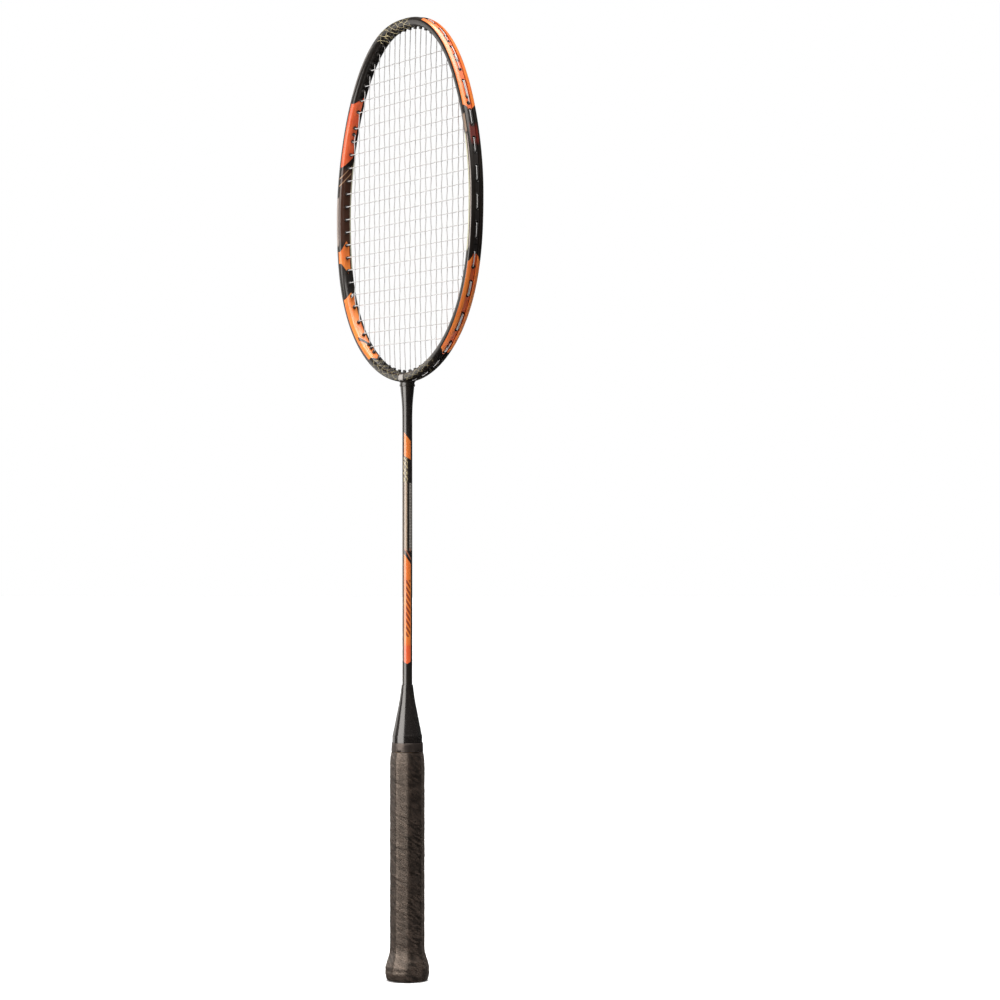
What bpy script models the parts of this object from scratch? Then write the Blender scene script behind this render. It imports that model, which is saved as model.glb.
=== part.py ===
"""Badminton racket: hollow carbon hoop, neck, shaft, cone, octagonal handle with its grip,
grommet strips and a full set of strings laid along their real route.

Metres, +Z up.  The racket stands on its butt: the origin is the middle of the butt's flat end,
X runs across the head, Y runs through its thickness and -Y is the front.
"""
import bisect
import math

import bmesh
import bpy
from mathutils import Vector

# ---------------------------------------------------------------- driving dimensions
OVERALL_LENGTH = 0.675
HEAD_LENGTH = 0.2551            # throat underside to the top of the hoop
HEAD_HALF_WIDTH = 0.0976        # axis to the middle of the hoop's section
WIDEST_BELOW_TOP = 0.1296       # top of the hoop down to its widest level
TOP_SHAPE = (2.38, 1.72)        # exponents of the outline across and along, upper part
LOWER_SHAPE = (1.83, 2.61)      # the same for the lower part

HOOP_WIDTH = 0.0066             # in the plane of the head
HOOP_THICKNESS = 0.0104         # through the head
HOOP_WALL = 0.0011
GROOVE_WIDTH = 0.0038
GROOVE_DEPTH = 0.00185
GROOVE_LEAD = 0.0008            # length over which the groove runs out at the throat
HOOP_STATIONS = 66

FIT_GAP = 0.0003                # between pieces that seat on each other
STRIP_GAP = 0.0002              # between a grommet strip and the groove floor

MAIN_COUNT = 22
CROSS_COUNT = 22
SIDE_MARGIN = 0.01675           # outermost main to the middle of the hoop's section
TOP_MARGIN = 0.0257             # uppermost cross to the middle of the hoop's section
THROAT_MARGIN = 0.0243          # lowest cross to the middle of the hoop's section
CROSS_END_GROWTH = 0.15         # how much wider the end spaces are than the middle ones
STRING_DIAMETER = 0.00068
LANE_GAP = 0.00012              # between the plane of the mains and the plane of the crosses
STRING_SIDES = 6
SHARED_HOLE_SPACING = 0.0040    # a main and a cross nearer than this share one hole
THROAT_HOLE_LEAN = 0.0015       # how far past the neck's rim the two middle holes come out

BARREL_PROUD = 0.0017           # how far a barrel stands out inside the hoop
BARREL_WALL = 0.00035
BORE_CLEARANCE = 0.00006
HOLE_CLEARANCE = 0.00025
STRIP_THICKNESS = 0.0005
STRIP_SPLIT = 0.0006            # gap between the ends of two strips
STRING_BEND = 0.0007            # size of a string's turn at the mouth of a barrel
KNOT_RADIUS = 0.00085

NECK_LENGTH = 0.0262            # throat underside down to the top of the shaft
NECK_TOP_RADIUS = 0.0054
NECK_RIM_HEIGHT = 0.0012
TENON_RADIUS = 0.0022           # the part of the neck that enters the hoop
NECK_SPIGOT_LENGTH = 0.035
SHAFT_RADIUS = 0.0035
SHAFT_WALL = 0.0010
SHAFT_BOTTOM = 0.080

GRIP_TOP = 0.1602
GRIP_FLATS = 0.0234             # across the flats of the octagon
GRIP_TOP_DROP = 0.0008          # how far each flat steps in at the grip's top
GRIP_THICKNESS = 0.0018
GRIP_TAPER = 0.0070             # height over which the grip narrows at its top
BUTT_FLATS = 0.0303
BUTT_HEIGHT = 0.0205            # height at which the flare begins
BUTT_END_FLATS = 0.0280         # across the flats at the rounded bottom edge
BUTT_EDGE = 0.0015              # width of the grip's rim round the butt cap
BUTT_CAP_THICKNESS = 0.0017

TAPE_HEIGHT = 0.0099
TAPE_THICKNESS = 0.00035
CONE_TOP = 0.2073
CONE_LIP = 0.00025              # thickness of the cone's upper edge
CONE_BASE = 0.1716              # where the cone's slope ends and its skirt begins
CONE_SETBACK = 0.00045          # cone skirt inside the line of the grip's top
CONE_WALL = 0.0012
HANDLE_NECK_TOP = 0.180         # top of the wood inside the cone

STICKER_WIDTH = 0.0066
STICKER_THICKNESS = 0.0002

# ---------------------------------------------------------------- derived sizes
STRING_R = STRING_DIAMETER / 2
LANE = (STRING_DIAMETER + LANE_GAP) / 2
HEX = math.cos(math.pi / 6)
BORE_R = (LANE + STRING_R + BORE_CLEARANCE) / HEX
BARREL_R = BORE_R + BARREL_WALL / HEX
HOLE_R = BARREL_R + HOLE_CLEARANCE / HEX
BAND_IN = HOOP_WIDTH / 2 - GROOVE_DEPTH + STRIP_GAP
BAND_OUT = BAND_IN + STRIP_THICKNESS
BAND_HALF = GROOVE_WIDTH / 2 - FIT_GAP
LOOP_LEVEL = BAND_OUT + STRIP_GAP + STRING_R
TIP_LEVEL = -HOOP_WIDTH / 2 - BARREL_PROUD
TIP_BEND = 0.00035

THROAT_Z = OVERALL_LENGTH - HEAD_LENGTH
HEAD_BOTTOM = THROAT_Z + HOOP_WIDTH / 2
HEAD_TOP = OVERALL_LENGTH - HOOP_WIDTH / 2
WIDEST_Z = OVERALL_LENGTH - WIDEST_BELOW_TOP
SHAFT_TOP = THROAT_Z - NECK_LENGTH
NECK_TOP = THROAT_Z + HOOP_WIDTH * 0.12
SHAFT_BORE_R = SHAFT_RADIUS - SHAFT_WALL
GROOVE_START = NECK_TOP_RADIUS - 0.0002
FIRST_EXIT = NECK_TOP_RADIUS + THROAT_HOLE_LEAN
TAPE_BOTTOM = GRIP_TOP + FIT_GAP
TAPE_TOP = TAPE_BOTTOM + TAPE_HEIGHT
GRIP_TOP_FLATS = GRIP_FLATS - 2 * GRIP_TOP_DROP
SKIRT_RADIUS = GRIP_TOP_FLATS / 2 - CONE_SETBACK
SHAFT_ROOM = SHAFT_RADIUS + FIT_GAP
CONE_TOP_RADIUS = SHAFT_ROOM + CONE_LIP
BUTT_CAP_RADIUS = BUTT_END_FLATS / 2 - BUTT_EDGE - FIT_GAP
HOLLOW_OUT = HOOP_WIDTH / 2 - GROOVE_DEPTH - HOOP_WALL
HOLLOW_IN = -HOOP_WIDTH / 2 + HOOP_WALL
TENON_TOP = HEAD_BOTTOM - (HOLLOW_OUT + HOLLOW_IN) / 2

# ---------------------------------------------------------------- scene
for leftover in list(bpy.data.objects):
    bpy.data.objects.remove(leftover, do_unlink=True)

racket = bpy.data.collections.new("badminton_racket")
cutters = bpy.data.collections.new("cutters")
bpy.context.scene.collection.children.link(racket)
bpy.context.scene.collection.children.link(cutters)


def material(name, colour, roughness, metallic=0.0):
    """A Principled material, made once for each name."""
    made = bpy.data.materials.get(name)
    if made:
        return made
    made = bpy.data.materials.new(name)
    made.use_nodes = True
    made.diffuse_color = (*colour, 1.0)
    shader = made.node_tree.nodes["Principled BSDF"]
    shader.inputs["Base Color"].default_value = (*colour, 1.0)
    shader.inputs["Roughness"].default_value = roughness
    shader.inputs["Metallic"].default_value = metallic
    return made


def new_object(name, mesh, mat=None, cutter=False):
    """Link a mesh as a part of the racket or as a hidden cutter."""
    made = bpy.data.objects.new(name, mesh)
    if cutter:
        cutters.objects.link(made)
        made.hide_render = True
        made.display_type = "WIRE"
    else:
        racket.objects.link(made)
        mesh.materials.append(mat)
    return made


def mesh_from(name, verts, faces):
    """A mesh with its faces wound outwards."""
    mesh = bpy.data.meshes.new(name)
    mesh.from_pydata([tuple(v) for v in verts], [], faces)
    work = bmesh.new()
    work.from_mesh(mesh)
    bmesh.ops.recalc_face_normals(work, faces=work.faces)
    work.to_mesh(mesh)
    work.free()
    mesh.update()
    return mesh


def rings(loops, closed=False):
    """Vertices and faces of a skin over rings of equal size, capped unless it closes on itself."""
    count = len(loops[0])
    verts = [p for ring in loops for p in ring]
    faces = []
    last = len(loops) if closed else len(loops) - 1
    for i in range(last):
        a = i * count
        b = ((i + 1) % len(loops)) * count
        for k in range(count):
            n = (k + 1) % count
            faces.append((a + k, a + n, b + n, b + k))
    if not closed:
        faces.append(tuple(range(count)))
        faces.append(tuple((len(loops) - 1) * count + k for k in range(count)))
    return verts, faces


def merged(pieces):
    """One list of vertices and faces from several."""
    verts = []
    faces = []
    for part_verts, part_faces in pieces:
        base = len(verts)
        verts += part_verts
        faces += [tuple(base + i for i in face) for face in part_faces]
    return verts, faces


def boolean(target, cutter, operation):
    """An exact Boolean modifier on target."""
    mod = target.modifiers.new(cutter.name, "BOOLEAN")
    mod.operation = operation
    mod.solver = "EXACT"
    mod.object = cutter
    return mod


def circle(radius, z, sides, turn=0.0):
    """A level ring of points about the racket's axis."""
    steps = [2 * math.pi * k / sides + turn for k in range(sides)]
    return [Vector((radius * math.cos(a), radius * math.sin(a), z)) for a in steps]


def turned(profile, sides=24):
    """A solid of revolution about Z from (radius, height) pairs, bottom to top."""
    return rings([circle(r, z, sides) for r, z in profile])


def tube(outer, inner, sides=24):
    """A hollow turned piece: outer profile bottom to top, then inner profile top to bottom."""
    loops = [circle(r, z, sides) for r, z in outer + inner]
    return rings(loops, closed=True)


# ---------------------------------------------------------------- the hoop's centreline
def outline(turn):
    """Point of the centreline: 0 is the throat, a half turn is the top, +X first."""
    across = math.sin(turn)
    up = -math.cos(turn)
    ex, ez = TOP_SHAPE if up > 0 else LOWER_SHAPE
    rise = HEAD_TOP - WIDEST_Z if up > 0 else WIDEST_Z - HEAD_BOTTOM
    x = HEAD_HALF_WIDTH * math.copysign(abs(across) ** (2 / ex), across)
    z = WIDEST_Z + rise * math.copysign(abs(up) ** (2 / ez), up)
    return x, z


TABLE_SIZE = 20000
TABLE = [outline(2 * math.pi * i / TABLE_SIZE) for i in range(TABLE_SIZE + 1)]
REACH = [0.0]
for step in range(TABLE_SIZE):
    REACH.append(REACH[-1] + math.dist(TABLE[step], TABLE[step + 1]))
HOOP_LENGTH = REACH[-1]
WIDEST_S = REACH[max(range(TABLE_SIZE // 2), key=lambda i: TABLE[i][0])]


def centre(s):
    """Centreline point at arc length s from the throat."""
    s %= HOOP_LENGTH
    i = min(max(bisect.bisect_right(REACH, s) - 1, 0), TABLE_SIZE - 1)
    f = (s - REACH[i]) / (REACH[i + 1] - REACH[i])
    x = TABLE[i][0] + (TABLE[i + 1][0] - TABLE[i][0]) * f
    z = TABLE[i][1] + (TABLE[i + 1][1] - TABLE[i][1]) * f
    return Vector((x, 0.0, z))


def along(s):
    """Unit direction of the centreline at s."""
    half = 0.0015
    return (centre(s + half) - centre(s - half)).normalized()


def outward(s):
    """Unit direction away from the middle of the head at s."""
    way = along(s)
    return Vector((way.z, 0.0, -way.x))


def at(s, level, y=0.0):
    """Point at arc length s, level outwards from the centreline, y through the head."""
    return centre(s) + outward(s) * level + Vector((0.0, y, 0.0))


def solve(test, low, high):
    """Where test changes sign between low and high."""
    start = test(low) > 0
    for _ in range(48):
        mid = (low + high) / 2
        if (test(mid) > 0) == start:
            low = mid
        else:
            high = mid
    return (low + high) / 2


# ---------------------------------------------------------------- string pattern
main_pitch = (HEAD_HALF_WIDTH - SIDE_MARGIN) / (MAIN_COUNT / 2 - 0.5)
mains_x = [main_pitch * (k + 0.5) for k in range(MAIN_COUNT // 2)]

cross_spans = []
for k in range(CROSS_COUNT - 1):
    towards_end = abs(2 * (k + 0.5) / (CROSS_COUNT - 1) - 1)
    cross_spans.append(1 + CROSS_END_GROWTH * towards_end ** 6)
cross_first = HEAD_TOP - TOP_MARGIN
cross_last = HEAD_BOTTOM + THROAT_MARGIN
cross_unit = (cross_first - cross_last) / sum(cross_spans)
crosses_z = [cross_first]
for span in cross_spans:
    crosses_z.append(crosses_z[-1] - span * cross_unit)

half = HOOP_LENGTH / 2
found = []
for k, x in enumerate(mains_x):
    if k:
        low_s = solve(lambda s: at(s, TIP_LEVEL).x - x, 0.001, WIDEST_S)
    else:
        low_s = FIRST_EXIT
    found.append([low_s, ("main", k, "low")])
    found.append([solve(lambda s: at(s, TIP_LEVEL).x - x, WIDEST_S, half - 1e-4), ("main", k, "top")])
for k, z in enumerate(crosses_z):
    found.append([solve(lambda s: at(s, TIP_LEVEL).z - z, 0.001, half - 1e-4), ("cross", k)])
found.sort()

# holes of the +X half, from the throat to the top; each lists the strings that use it
holes = []
for s, user in found:
    alone = holes and len(holes[-1][1]) == 1 and holes[-1][1][0][0] != user[0]
    if alone and s - holes[-1][0] < SHARED_HOLE_SPACING:
        holes[-1][0] = (holes[-1][0] + s) / 2
        holes[-1][1].append(user)
    else:
        holes.append([s, [user]])
hole_of = {user: n for n, (s, users) in enumerate(holes) for user in users}


class Hole:
    """One drilled hole with its barrel: side +1 is +X and -1 is -X."""

    def __init__(self, number, side):
        s = holes[number][0]
        self.s = s if side > 0 else HOOP_LENGTH - s
        self.first = number == 0
        self.side = side
        mouth = at(self.s, LOOP_LEVEL)
        tip = at(self.s, TIP_LEVEL)
        if self.first:
            tip = at(mains_x[0], TIP_LEVEL)
            tip.x = side * mains_x[0]
        self.mouth = mouth
        self.tip = tip
        self.axis = (mouth - tip).normalized()

    def level(self, amount):
        """Point on the axis at a distance outwards from the hoop's centreline."""
        grade = self.axis.dot(outward(self.s))
        return self.mouth + self.axis * ((amount - LOOP_LEVEL) / grade)


def hexagon(point, axis, radius):
    """Ring of six points square to axis, with two corners along Y."""
    side = axis.cross(Vector((0, 1, 0))).normalized()
    ring = []
    for k in range(6):
        a = math.pi * k / 3
        ring.append(point + Vector((0, 1, 0)) * (radius * math.cos(a)) + side * (radius * math.sin(a)))
    return ring


def prism(start, end, axis, radius):
    """A six-sided bar between two points."""
    return rings([hexagon(start, axis, radius), hexagon(end, axis, radius)])


# ---------------------------------------------------------------- head frame
def section(depth, grow=0.0):
    """Half of the hoop's outer section as (level, y) pairs, from the groove to the inner face."""
    w = HOOP_WIDTH / 2
    t = HOOP_THICKNESS / 2
    g = GROOVE_WIDTH / 2
    return [
        (w - depth + grow, g),
        (w + grow, g + 0.0003),
        (w * 0.80 + grow, t * 0.82 + grow),
        (w * 0.20, t + grow),
        (-w * 0.58 - grow, t * 0.90 + grow),
        (-w - grow, t * 0.45 + grow),
    ]


def cavity():
    """Half of the hollow's section."""
    w = HOOP_WIDTH / 2
    t = HOOP_THICKNESS / 2
    return [
        (HOLLOW_OUT, t * 0.60),
        (-w * 0.12, t - HOOP_WALL * 1.05),
        (HOLLOW_IN, t * 0.40),
    ]


def full(half_section):
    """Whole section from its +Y half."""
    return half_section + [(n, -y) for n, y in reversed(half_section)]


stations = [0.0, GROOVE_START - GROOVE_LEAD, GROOVE_START]
regular = 1 + round((half - GROOVE_START) / (HOOP_LENGTH / HOOP_STATIONS))
for k in range(1, regular):
    stations.append(GROOVE_START + (half - GROOVE_START) * k / regular)
stations.append(half)
stations += [HOOP_LENGTH - s for s in reversed(stations[1:-1])]

skin = []
hollow = []
for s in stations:
    from_throat = min(s, HOOP_LENGTH - s)
    depth = GROOVE_DEPTH if from_throat > GROOVE_START - 1e-6 else 0.0
    skin.append([at(s, n, y) for n, y in full(section(depth))])
    hollow.append([at(s, n, y) for n, y in full(cavity())])

paint = material("head_paint", (0.035, 0.030, 0.030), 0.28)
head = new_object("head_frame", mesh_from("head_frame", *rings(skin, closed=True)), paint)
inside = new_object("cut_hollow", mesh_from("cut_hollow", *rings(hollow, closed=True)), cutter=True)
boolean(head, inside, "DIFFERENCE")

every_hole = [Hole(n, side) for side in (1, -1) for n in range(len(holes))]
drills = []
for hole in every_hole:
    start = hole.level(-HOOP_WIDTH / 2 - 0.002)
    end = hole.level(HOOP_WIDTH / 2 + 0.001)
    drills.append(prism(start, end, hole.axis, HOLE_R))
drill = new_object("cut_string_holes", mesh_from("cut_string_holes", *merged(drills)), cutter=True)
boolean(head, drill, "DIFFERENCE")

socket_r = TENON_RADIUS + FIT_GAP
socket_profile = [(socket_r, THROAT_Z - 0.002), (socket_r, TENON_TOP + FIT_GAP)]
socket = new_object("cut_neck_socket", mesh_from("cut_neck_socket", *turned(socket_profile, 12)), cutter=True)
boolean(head, socket, "DIFFERENCE")

# ---------------------------------------------------------------- grommet strips
grommet = material("grommet_black", (0.02, 0.02, 0.022), 0.5)
top_hole = len(holes) - 1
top_share = 3
side_total = len(holes) - top_share
side_names = ["throat", "lower_side", "middle_side", "upper_side", "shoulder"]
cuts = [round(side_total * k / len(side_names)) for k in range(len(side_names) + 1)]


def between(a, b):
    """Middle of the hoop between two neighbouring holes of the +X half."""
    return (holes[a][0] + holes[b][0]) / 2


def add_strip(name, low_s, high_s, members):
    """A band along the groove with one hollow barrel for each hole."""
    count = max(2, math.ceil((high_s - low_s) / 0.0065))
    loops = []
    for k in range(count + 1):
        s = low_s + (high_s - low_s) * k / count
        corners = ((BAND_IN, BAND_HALF), (BAND_OUT, BAND_HALF), (BAND_OUT, -BAND_HALF), (BAND_IN, -BAND_HALF))
        loops.append([at(s, n, y) for n, y in corners])
    strip = new_object(name, mesh_from(name, *rings(loops)), grommet)
    barrels = []
    bores = []
    for hole in members:
        outer_end = hole.level((BAND_IN + BAND_OUT) / 2)
        barrels.append(prism(hole.tip, outer_end, hole.axis, BARREL_R))
        bores.append(prism(hole.tip - hole.axis * 0.001, hole.level(BAND_OUT + 0.002), hole.axis, BORE_R))
    tag = name.replace("grommet_strip_", "")
    bodies = new_object("add_barrels_" + tag, mesh_from("add_barrels_" + tag, *merged(barrels)), cutter=True)
    tools = new_object("cut_bores_" + tag, mesh_from("cut_bores_" + tag, *merged(bores)), cutter=True)
    boolean(strip, bodies, "UNION")
    boolean(strip, tools, "DIFFERENCE")


for side, word in ((1, "right"), (-1, "left")):
    for k, place in enumerate(side_names):
        first, last = cuts[k], cuts[k + 1] - 1
        low_s = between(first - 1, first) + STRIP_SPLIT / 2 if first else GROOVE_START + FIT_GAP
        high_s = between(last, last + 1) - STRIP_SPLIT / 2
        if side < 0:
            low_s, high_s = HOOP_LENGTH - high_s, HOOP_LENGTH - low_s
        members = [Hole(n, side) for n in range(first, last + 1)]
        add_strip("grommet_strip_" + place + "_" + word, low_s, high_s, members)
crown_low = between(side_total - 1, side_total) + STRIP_SPLIT / 2
crown_holes = [Hole(n, side) for side in (1, -1) for n in range(side_total, len(holes))]
add_strip("grommet_strip_crown", crown_low, HOOP_LENGTH - crown_low, crown_holes)

# ---------------------------------------------------------------- strings
def swept(path):
    """A round string through (point, radius) pairs, mitred in the plane of the head."""
    loops = []
    for i, (point, radius) in enumerate(path):
        before = path[max(i - 1, 0)][0]
        after = path[min(i + 1, len(path) - 1)][0]
        into = point - before if i else after - point
        out = after - point if i < len(path) - 1 else point - before
        into = Vector((into.x, 0, into.z)).normalized()
        out = Vector((out.x, 0, out.z)).normalized()
        mean = (into + out).normalized()
        side = Vector((mean.z, 0, -mean.x))
        stretch = 1 / max(mean.dot(out), 0.6)
        ring = []
        for k in range(STRING_SIDES):
            a = 2 * math.pi * (k + 0.5) / STRING_SIDES
            across = side * (radius * stretch * math.sin(a))
            ring.append(point + Vector((0, radius * math.cos(a), 0)) + across)
        loops.append(ring)
    return rings(loops)


def leaving(hole, y, towards):
    """Points from inside the hoop out through a hole and round into the groove."""
    shift = Vector((0, y, 0))
    way = 1 if towards > hole.s else -1
    return [
        hole.tip - hole.axis * TIP_BEND + shift,
        hole.mouth - hole.axis * STRING_BEND + shift,
        at(hole.s + way * STRING_BEND, LOOP_LEVEL, y),
    ]


def loop_points(start, end, y):
    """A string's way from the inside of one hole to the inside of the next."""
    points = leaving(start, y, end.s)
    way = 1 if end.s > start.s else -1
    run = abs(end.s - start.s) - 2 * STRING_BEND
    pieces = max(1, math.ceil(run / 0.008))
    for k in range(1, pieces):
        points.append(at(start.s + way * (STRING_BEND + run * k / pieces), LOOP_LEVEL, y))
    return points + list(reversed(leaving(end, y, start.s)))


def knot(hole, y):
    """(point, radius) pairs of a knot past the tip of a barrel, beside the string already there."""
    out = math.copysign(1, y)
    shapes = ((0.00035, 0.0, 1.0), (0.00055, 0.00025, 1.8), (0.0011, 0.0005, 2.5), (0.0018, 0.0004, 1.5))
    made = []
    for reach, shift, swell in shapes:
        radius = STRING_R * swell if swell < 2.4 else KNOT_RADIUS
        made.append((hole.tip - hole.axis * reach + Vector((0, y + out * shift, 0)), radius))
    return made


def tie_off(hole, tie_hole, y):
    """A tail from a string's last hole to its knot."""
    points = loop_points(hole, tie_hole, y)
    return [(p, STRING_R) for p in points[:-1]] + knot(tie_hole, y)


def route(ends, tail_start, tail_end, y):
    """A whole string: (inside hole, loop to) pairs between two tied tails."""
    path = list(reversed(tie_off(*tail_start, y)))
    for start, end in ends:
        path += [(p, STRING_R) for p in loop_points(start, end, y)]
    return path + tie_off(*tail_end, y)


def main_hole(k, side, end):
    return Hole(hole_of[("main", k, end)], side)


def cross_hole(k, side):
    return Hole(hole_of[("cross", k)], side)


last_main = MAIN_COUNT // 2 - 1
loops = []
for k in range(last_main, 0, -1):
    end = "top" if (last_main - k) % 2 == 0 else "low"
    loops.append((main_hole(k, -1, end), main_hole(k - 1, -1, end)))
end = "top" if last_main % 2 == 0 else "low"
loops.append((main_hole(0, -1, end), main_hole(0, 1, end)))
for k in range(last_main):
    end = "top" if (last_main - k) % 2 == 1 else "low"
    loops.append((main_hole(k, 1, end), main_hole(k + 1, 1, end)))


def next_hole(number, step, kind):
    """Number of the nearest hole that no string of this kind uses."""
    n = number + step
    while any(user[0] == kind for user in holes[n][1]):
        n += step
    return n


main_tie = next_hole(hole_of[("main", last_main, "low")], 1, "main")
string_white = material("string_white", (0.86, 0.85, 0.82), 0.35)
main_path = route(
    loops,
    (main_hole(last_main, -1, "low"), Hole(main_tie, -1)),
    (main_hole(last_main, 1, "low"), Hole(main_tie, 1)),
    LANE,
)
new_object("main_string", mesh_from("main_string", *swept(main_path)), string_white)

loops = []
for k in range(CROSS_COUNT - 1):
    side = -1 if k % 2 == 0 else 1
    loops.append((cross_hole(k, side), cross_hole(k + 1, side)))
last_side = -1 if (CROSS_COUNT - 1) % 2 == 0 else 1
top_tie = next_hole(hole_of[("cross", 0)], 1, "cross")
low_tie = next_hole(hole_of[("cross", CROSS_COUNT - 1)], -1, "cross")
cross_path = route(
    loops,
    (cross_hole(0, 1), Hole(top_tie, 1)),
    (cross_hole(CROSS_COUNT - 1, last_side), Hole(low_tie, last_side)),
    -LANE,
)
new_object("cross_string", mesh_from("cross_string", *swept(cross_path)), string_white)

# ---------------------------------------------------------------- neck and shaft
neck_paint = material("neck_paint", (0.03, 0.027, 0.027), 0.25)
rim_low = THROAT_Z - FIT_GAP - 0.0026
swell = NECK_TOP_RADIUS - SHAFT_RADIUS
neck_profile = [
    (SHAFT_BORE_R - FIT_GAP, SHAFT_TOP - NECK_SPIGOT_LENGTH),
    (SHAFT_BORE_R - FIT_GAP, SHAFT_TOP + FIT_GAP),
    (SHAFT_RADIUS, SHAFT_TOP + FIT_GAP),
    (SHAFT_RADIUS + swell * 0.04, SHAFT_TOP + NECK_LENGTH * 0.20),
    (SHAFT_RADIUS + swell * 0.15, SHAFT_TOP + NECK_LENGTH * 0.38),
    (SHAFT_RADIUS + swell * 0.36, SHAFT_TOP + NECK_LENGTH * 0.58),
    (SHAFT_RADIUS + swell * 0.62, SHAFT_TOP + NECK_LENGTH * 0.78),
    (NECK_TOP_RADIUS - 0.0004, rim_low - 0.0002),
    (NECK_TOP_RADIUS, rim_low),
    (NECK_TOP_RADIUS, rim_low + NECK_RIM_HEIGHT),
    (NECK_TOP_RADIUS, NECK_TOP),
]
neck = new_object("throat_joint", mesh_from("throat_joint", *turned(neck_profile, 20)), neck_paint)
saddle = []
for x in (-0.009, 0.009):
    ring = [Vector((x, y, HEAD_BOTTOM - n)) for n, y in full(section(0.0, FIT_GAP))]
    saddle.append(ring)
saddle_cut = new_object("cut_saddle", mesh_from("cut_saddle", *rings(saddle)), cutter=True)
boolean(neck, saddle_cut, "DIFFERENCE")
tenon_profile = [(TENON_RADIUS, THROAT_Z - 0.004), (TENON_RADIUS, TENON_TOP)]
tenon = new_object("add_tenon", mesh_from("add_tenon", *turned(tenon_profile, 12)), cutter=True)
boolean(neck, tenon, "UNION")

shaft = tube(
    [(SHAFT_RADIUS, SHAFT_BOTTOM), (SHAFT_RADIUS, SHAFT_TOP)],
    [(SHAFT_BORE_R, SHAFT_TOP), (SHAFT_BORE_R, SHAFT_BOTTOM)],
)
new_object("shaft_tube", mesh_from("shaft_tube", *shaft), material("shaft_paint", (0.04, 0.035, 0.033), 0.25))

# ---------------------------------------------------------------- cone and finishing tape
skirt_bottom = TAPE_BOTTOM
slope_top = HANDLE_NECK_TOP + 0.010


def inside_cone(z):
    """Radius of the cone's hollow at a height on its slope."""
    base = SKIRT_RADIUS - CONE_WALL * 2
    return base + (SHAFT_ROOM - base) * (z - CONE_BASE) / (slope_top - CONE_BASE)


cone = tube(
    [
        (SKIRT_RADIUS, skirt_bottom),
        (SKIRT_RADIUS, CONE_BASE),
        (CONE_TOP_RADIUS + 0.0003, CONE_TOP - 0.001),
        (CONE_TOP_RADIUS, CONE_TOP),
    ],
    [
        (SHAFT_ROOM, CONE_TOP),
        (SHAFT_ROOM, slope_top),
        (inside_cone(CONE_BASE), CONE_BASE),
        (SKIRT_RADIUS - CONE_WALL, skirt_bottom),
    ],
    28,
)
new_object("cone_cap", mesh_from("cone_cap", *cone), material("cone_black", (0.018, 0.017, 0.017), 0.22))

tape_in = SKIRT_RADIUS + FIT_GAP
tape_out = tape_in + TAPE_THICKNESS
tape = tube([(tape_out, TAPE_BOTTOM), (tape_out, TAPE_TOP)], [(tape_in, TAPE_TOP), (tape_in, TAPE_BOTTOM)], 28)
new_object("finishing_tape", mesh_from("finishing_tape", *tape), material("tape_black", (0.03, 0.03, 0.03), 0.45))

# ---------------------------------------------------------------- handle, butt cap and grip
def octagon(flats, z, chamfer):
    """Level ring of an eight-sided section with its corners cut, flats square to X and Y."""
    apothem = flats / 2
    corner = apothem * math.tan(math.pi / 8)
    ring = []
    for k in range(8):
        a = math.pi / 4 * k
        normal = Vector((math.cos(a), math.sin(a), 0))
        side = Vector((-math.sin(a), math.cos(a), 0))
        for sign in (-1, 1):
            point = normal * apothem + side * (sign * (corner - chamfer))
            ring.append(Vector((point.x, point.y, z)))
    return ring


flare = [
    (0.00, 1.0),
    (0.16, 0.97),
    (0.34, 0.86),
    (0.52, 0.62),
    (0.70, 0.40),
    (0.86, 0.13),
    (1.00, 0.0),
]
FLARE_LOW = 0.0060
grip_rows = [(0.0005, BUTT_END_FLATS), (0.0018, BUTT_END_FLATS * 0.6 + BUTT_FLATS * 0.4)]
grip_rows.append((0.0032, BUTT_END_FLATS * 0.15 + BUTT_FLATS * 0.85))
for height, share in flare:
    z = FLARE_LOW + (BUTT_HEIGHT - FLARE_LOW) * height
    grip_rows.append((z, GRIP_FLATS + (BUTT_FLATS - GRIP_FLATS) * share))
grip_rows.append((GRIP_TOP - GRIP_TAPER, GRIP_FLATS))
grip_rows.append((GRIP_TOP - GRIP_TAPER * 0.45, GRIP_FLATS * 0.38 + GRIP_TOP_FLATS * 0.62))
grip_rows.append((GRIP_TOP, GRIP_TOP_FLATS))

cap_room = 2 * (BUTT_CAP_RADIUS + FIT_GAP)
wood_bottom = BUTT_CAP_THICKNESS + FIT_GAP
core_inset = 2 * (GRIP_THICKNESS + FIT_GAP)
core_flats = GRIP_FLATS - core_inset
CORNER_CUT = 0.0011

outer = [octagon(flats, z, CORNER_CUT) for z, flats in grip_rows]
inner = []
for z, flats in grip_rows:
    room = min(flats - 2 * GRIP_THICKNESS, BUTT_FLATS - 2 * GRIP_THICKNESS)
    if z > BUTT_HEIGHT:
        room = GRIP_FLATS - 2 * GRIP_THICKNESS
        if z > GRIP_TOP - GRIP_TAPER + 1e-6:
            room = min(room, flats - GRIP_THICKNESS)
    elif z < wood_bottom:
        room = cap_room
    inner.append(octagon(room, z, CORNER_CUT * 0.6))
grip = mesh_from("grip_wrap", *rings(outer + list(reversed(inner)), closed=True))
new_object("grip_wrap", grip, material("grip_brown_black", (0.06, 0.052, 0.048), 0.8))

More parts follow.
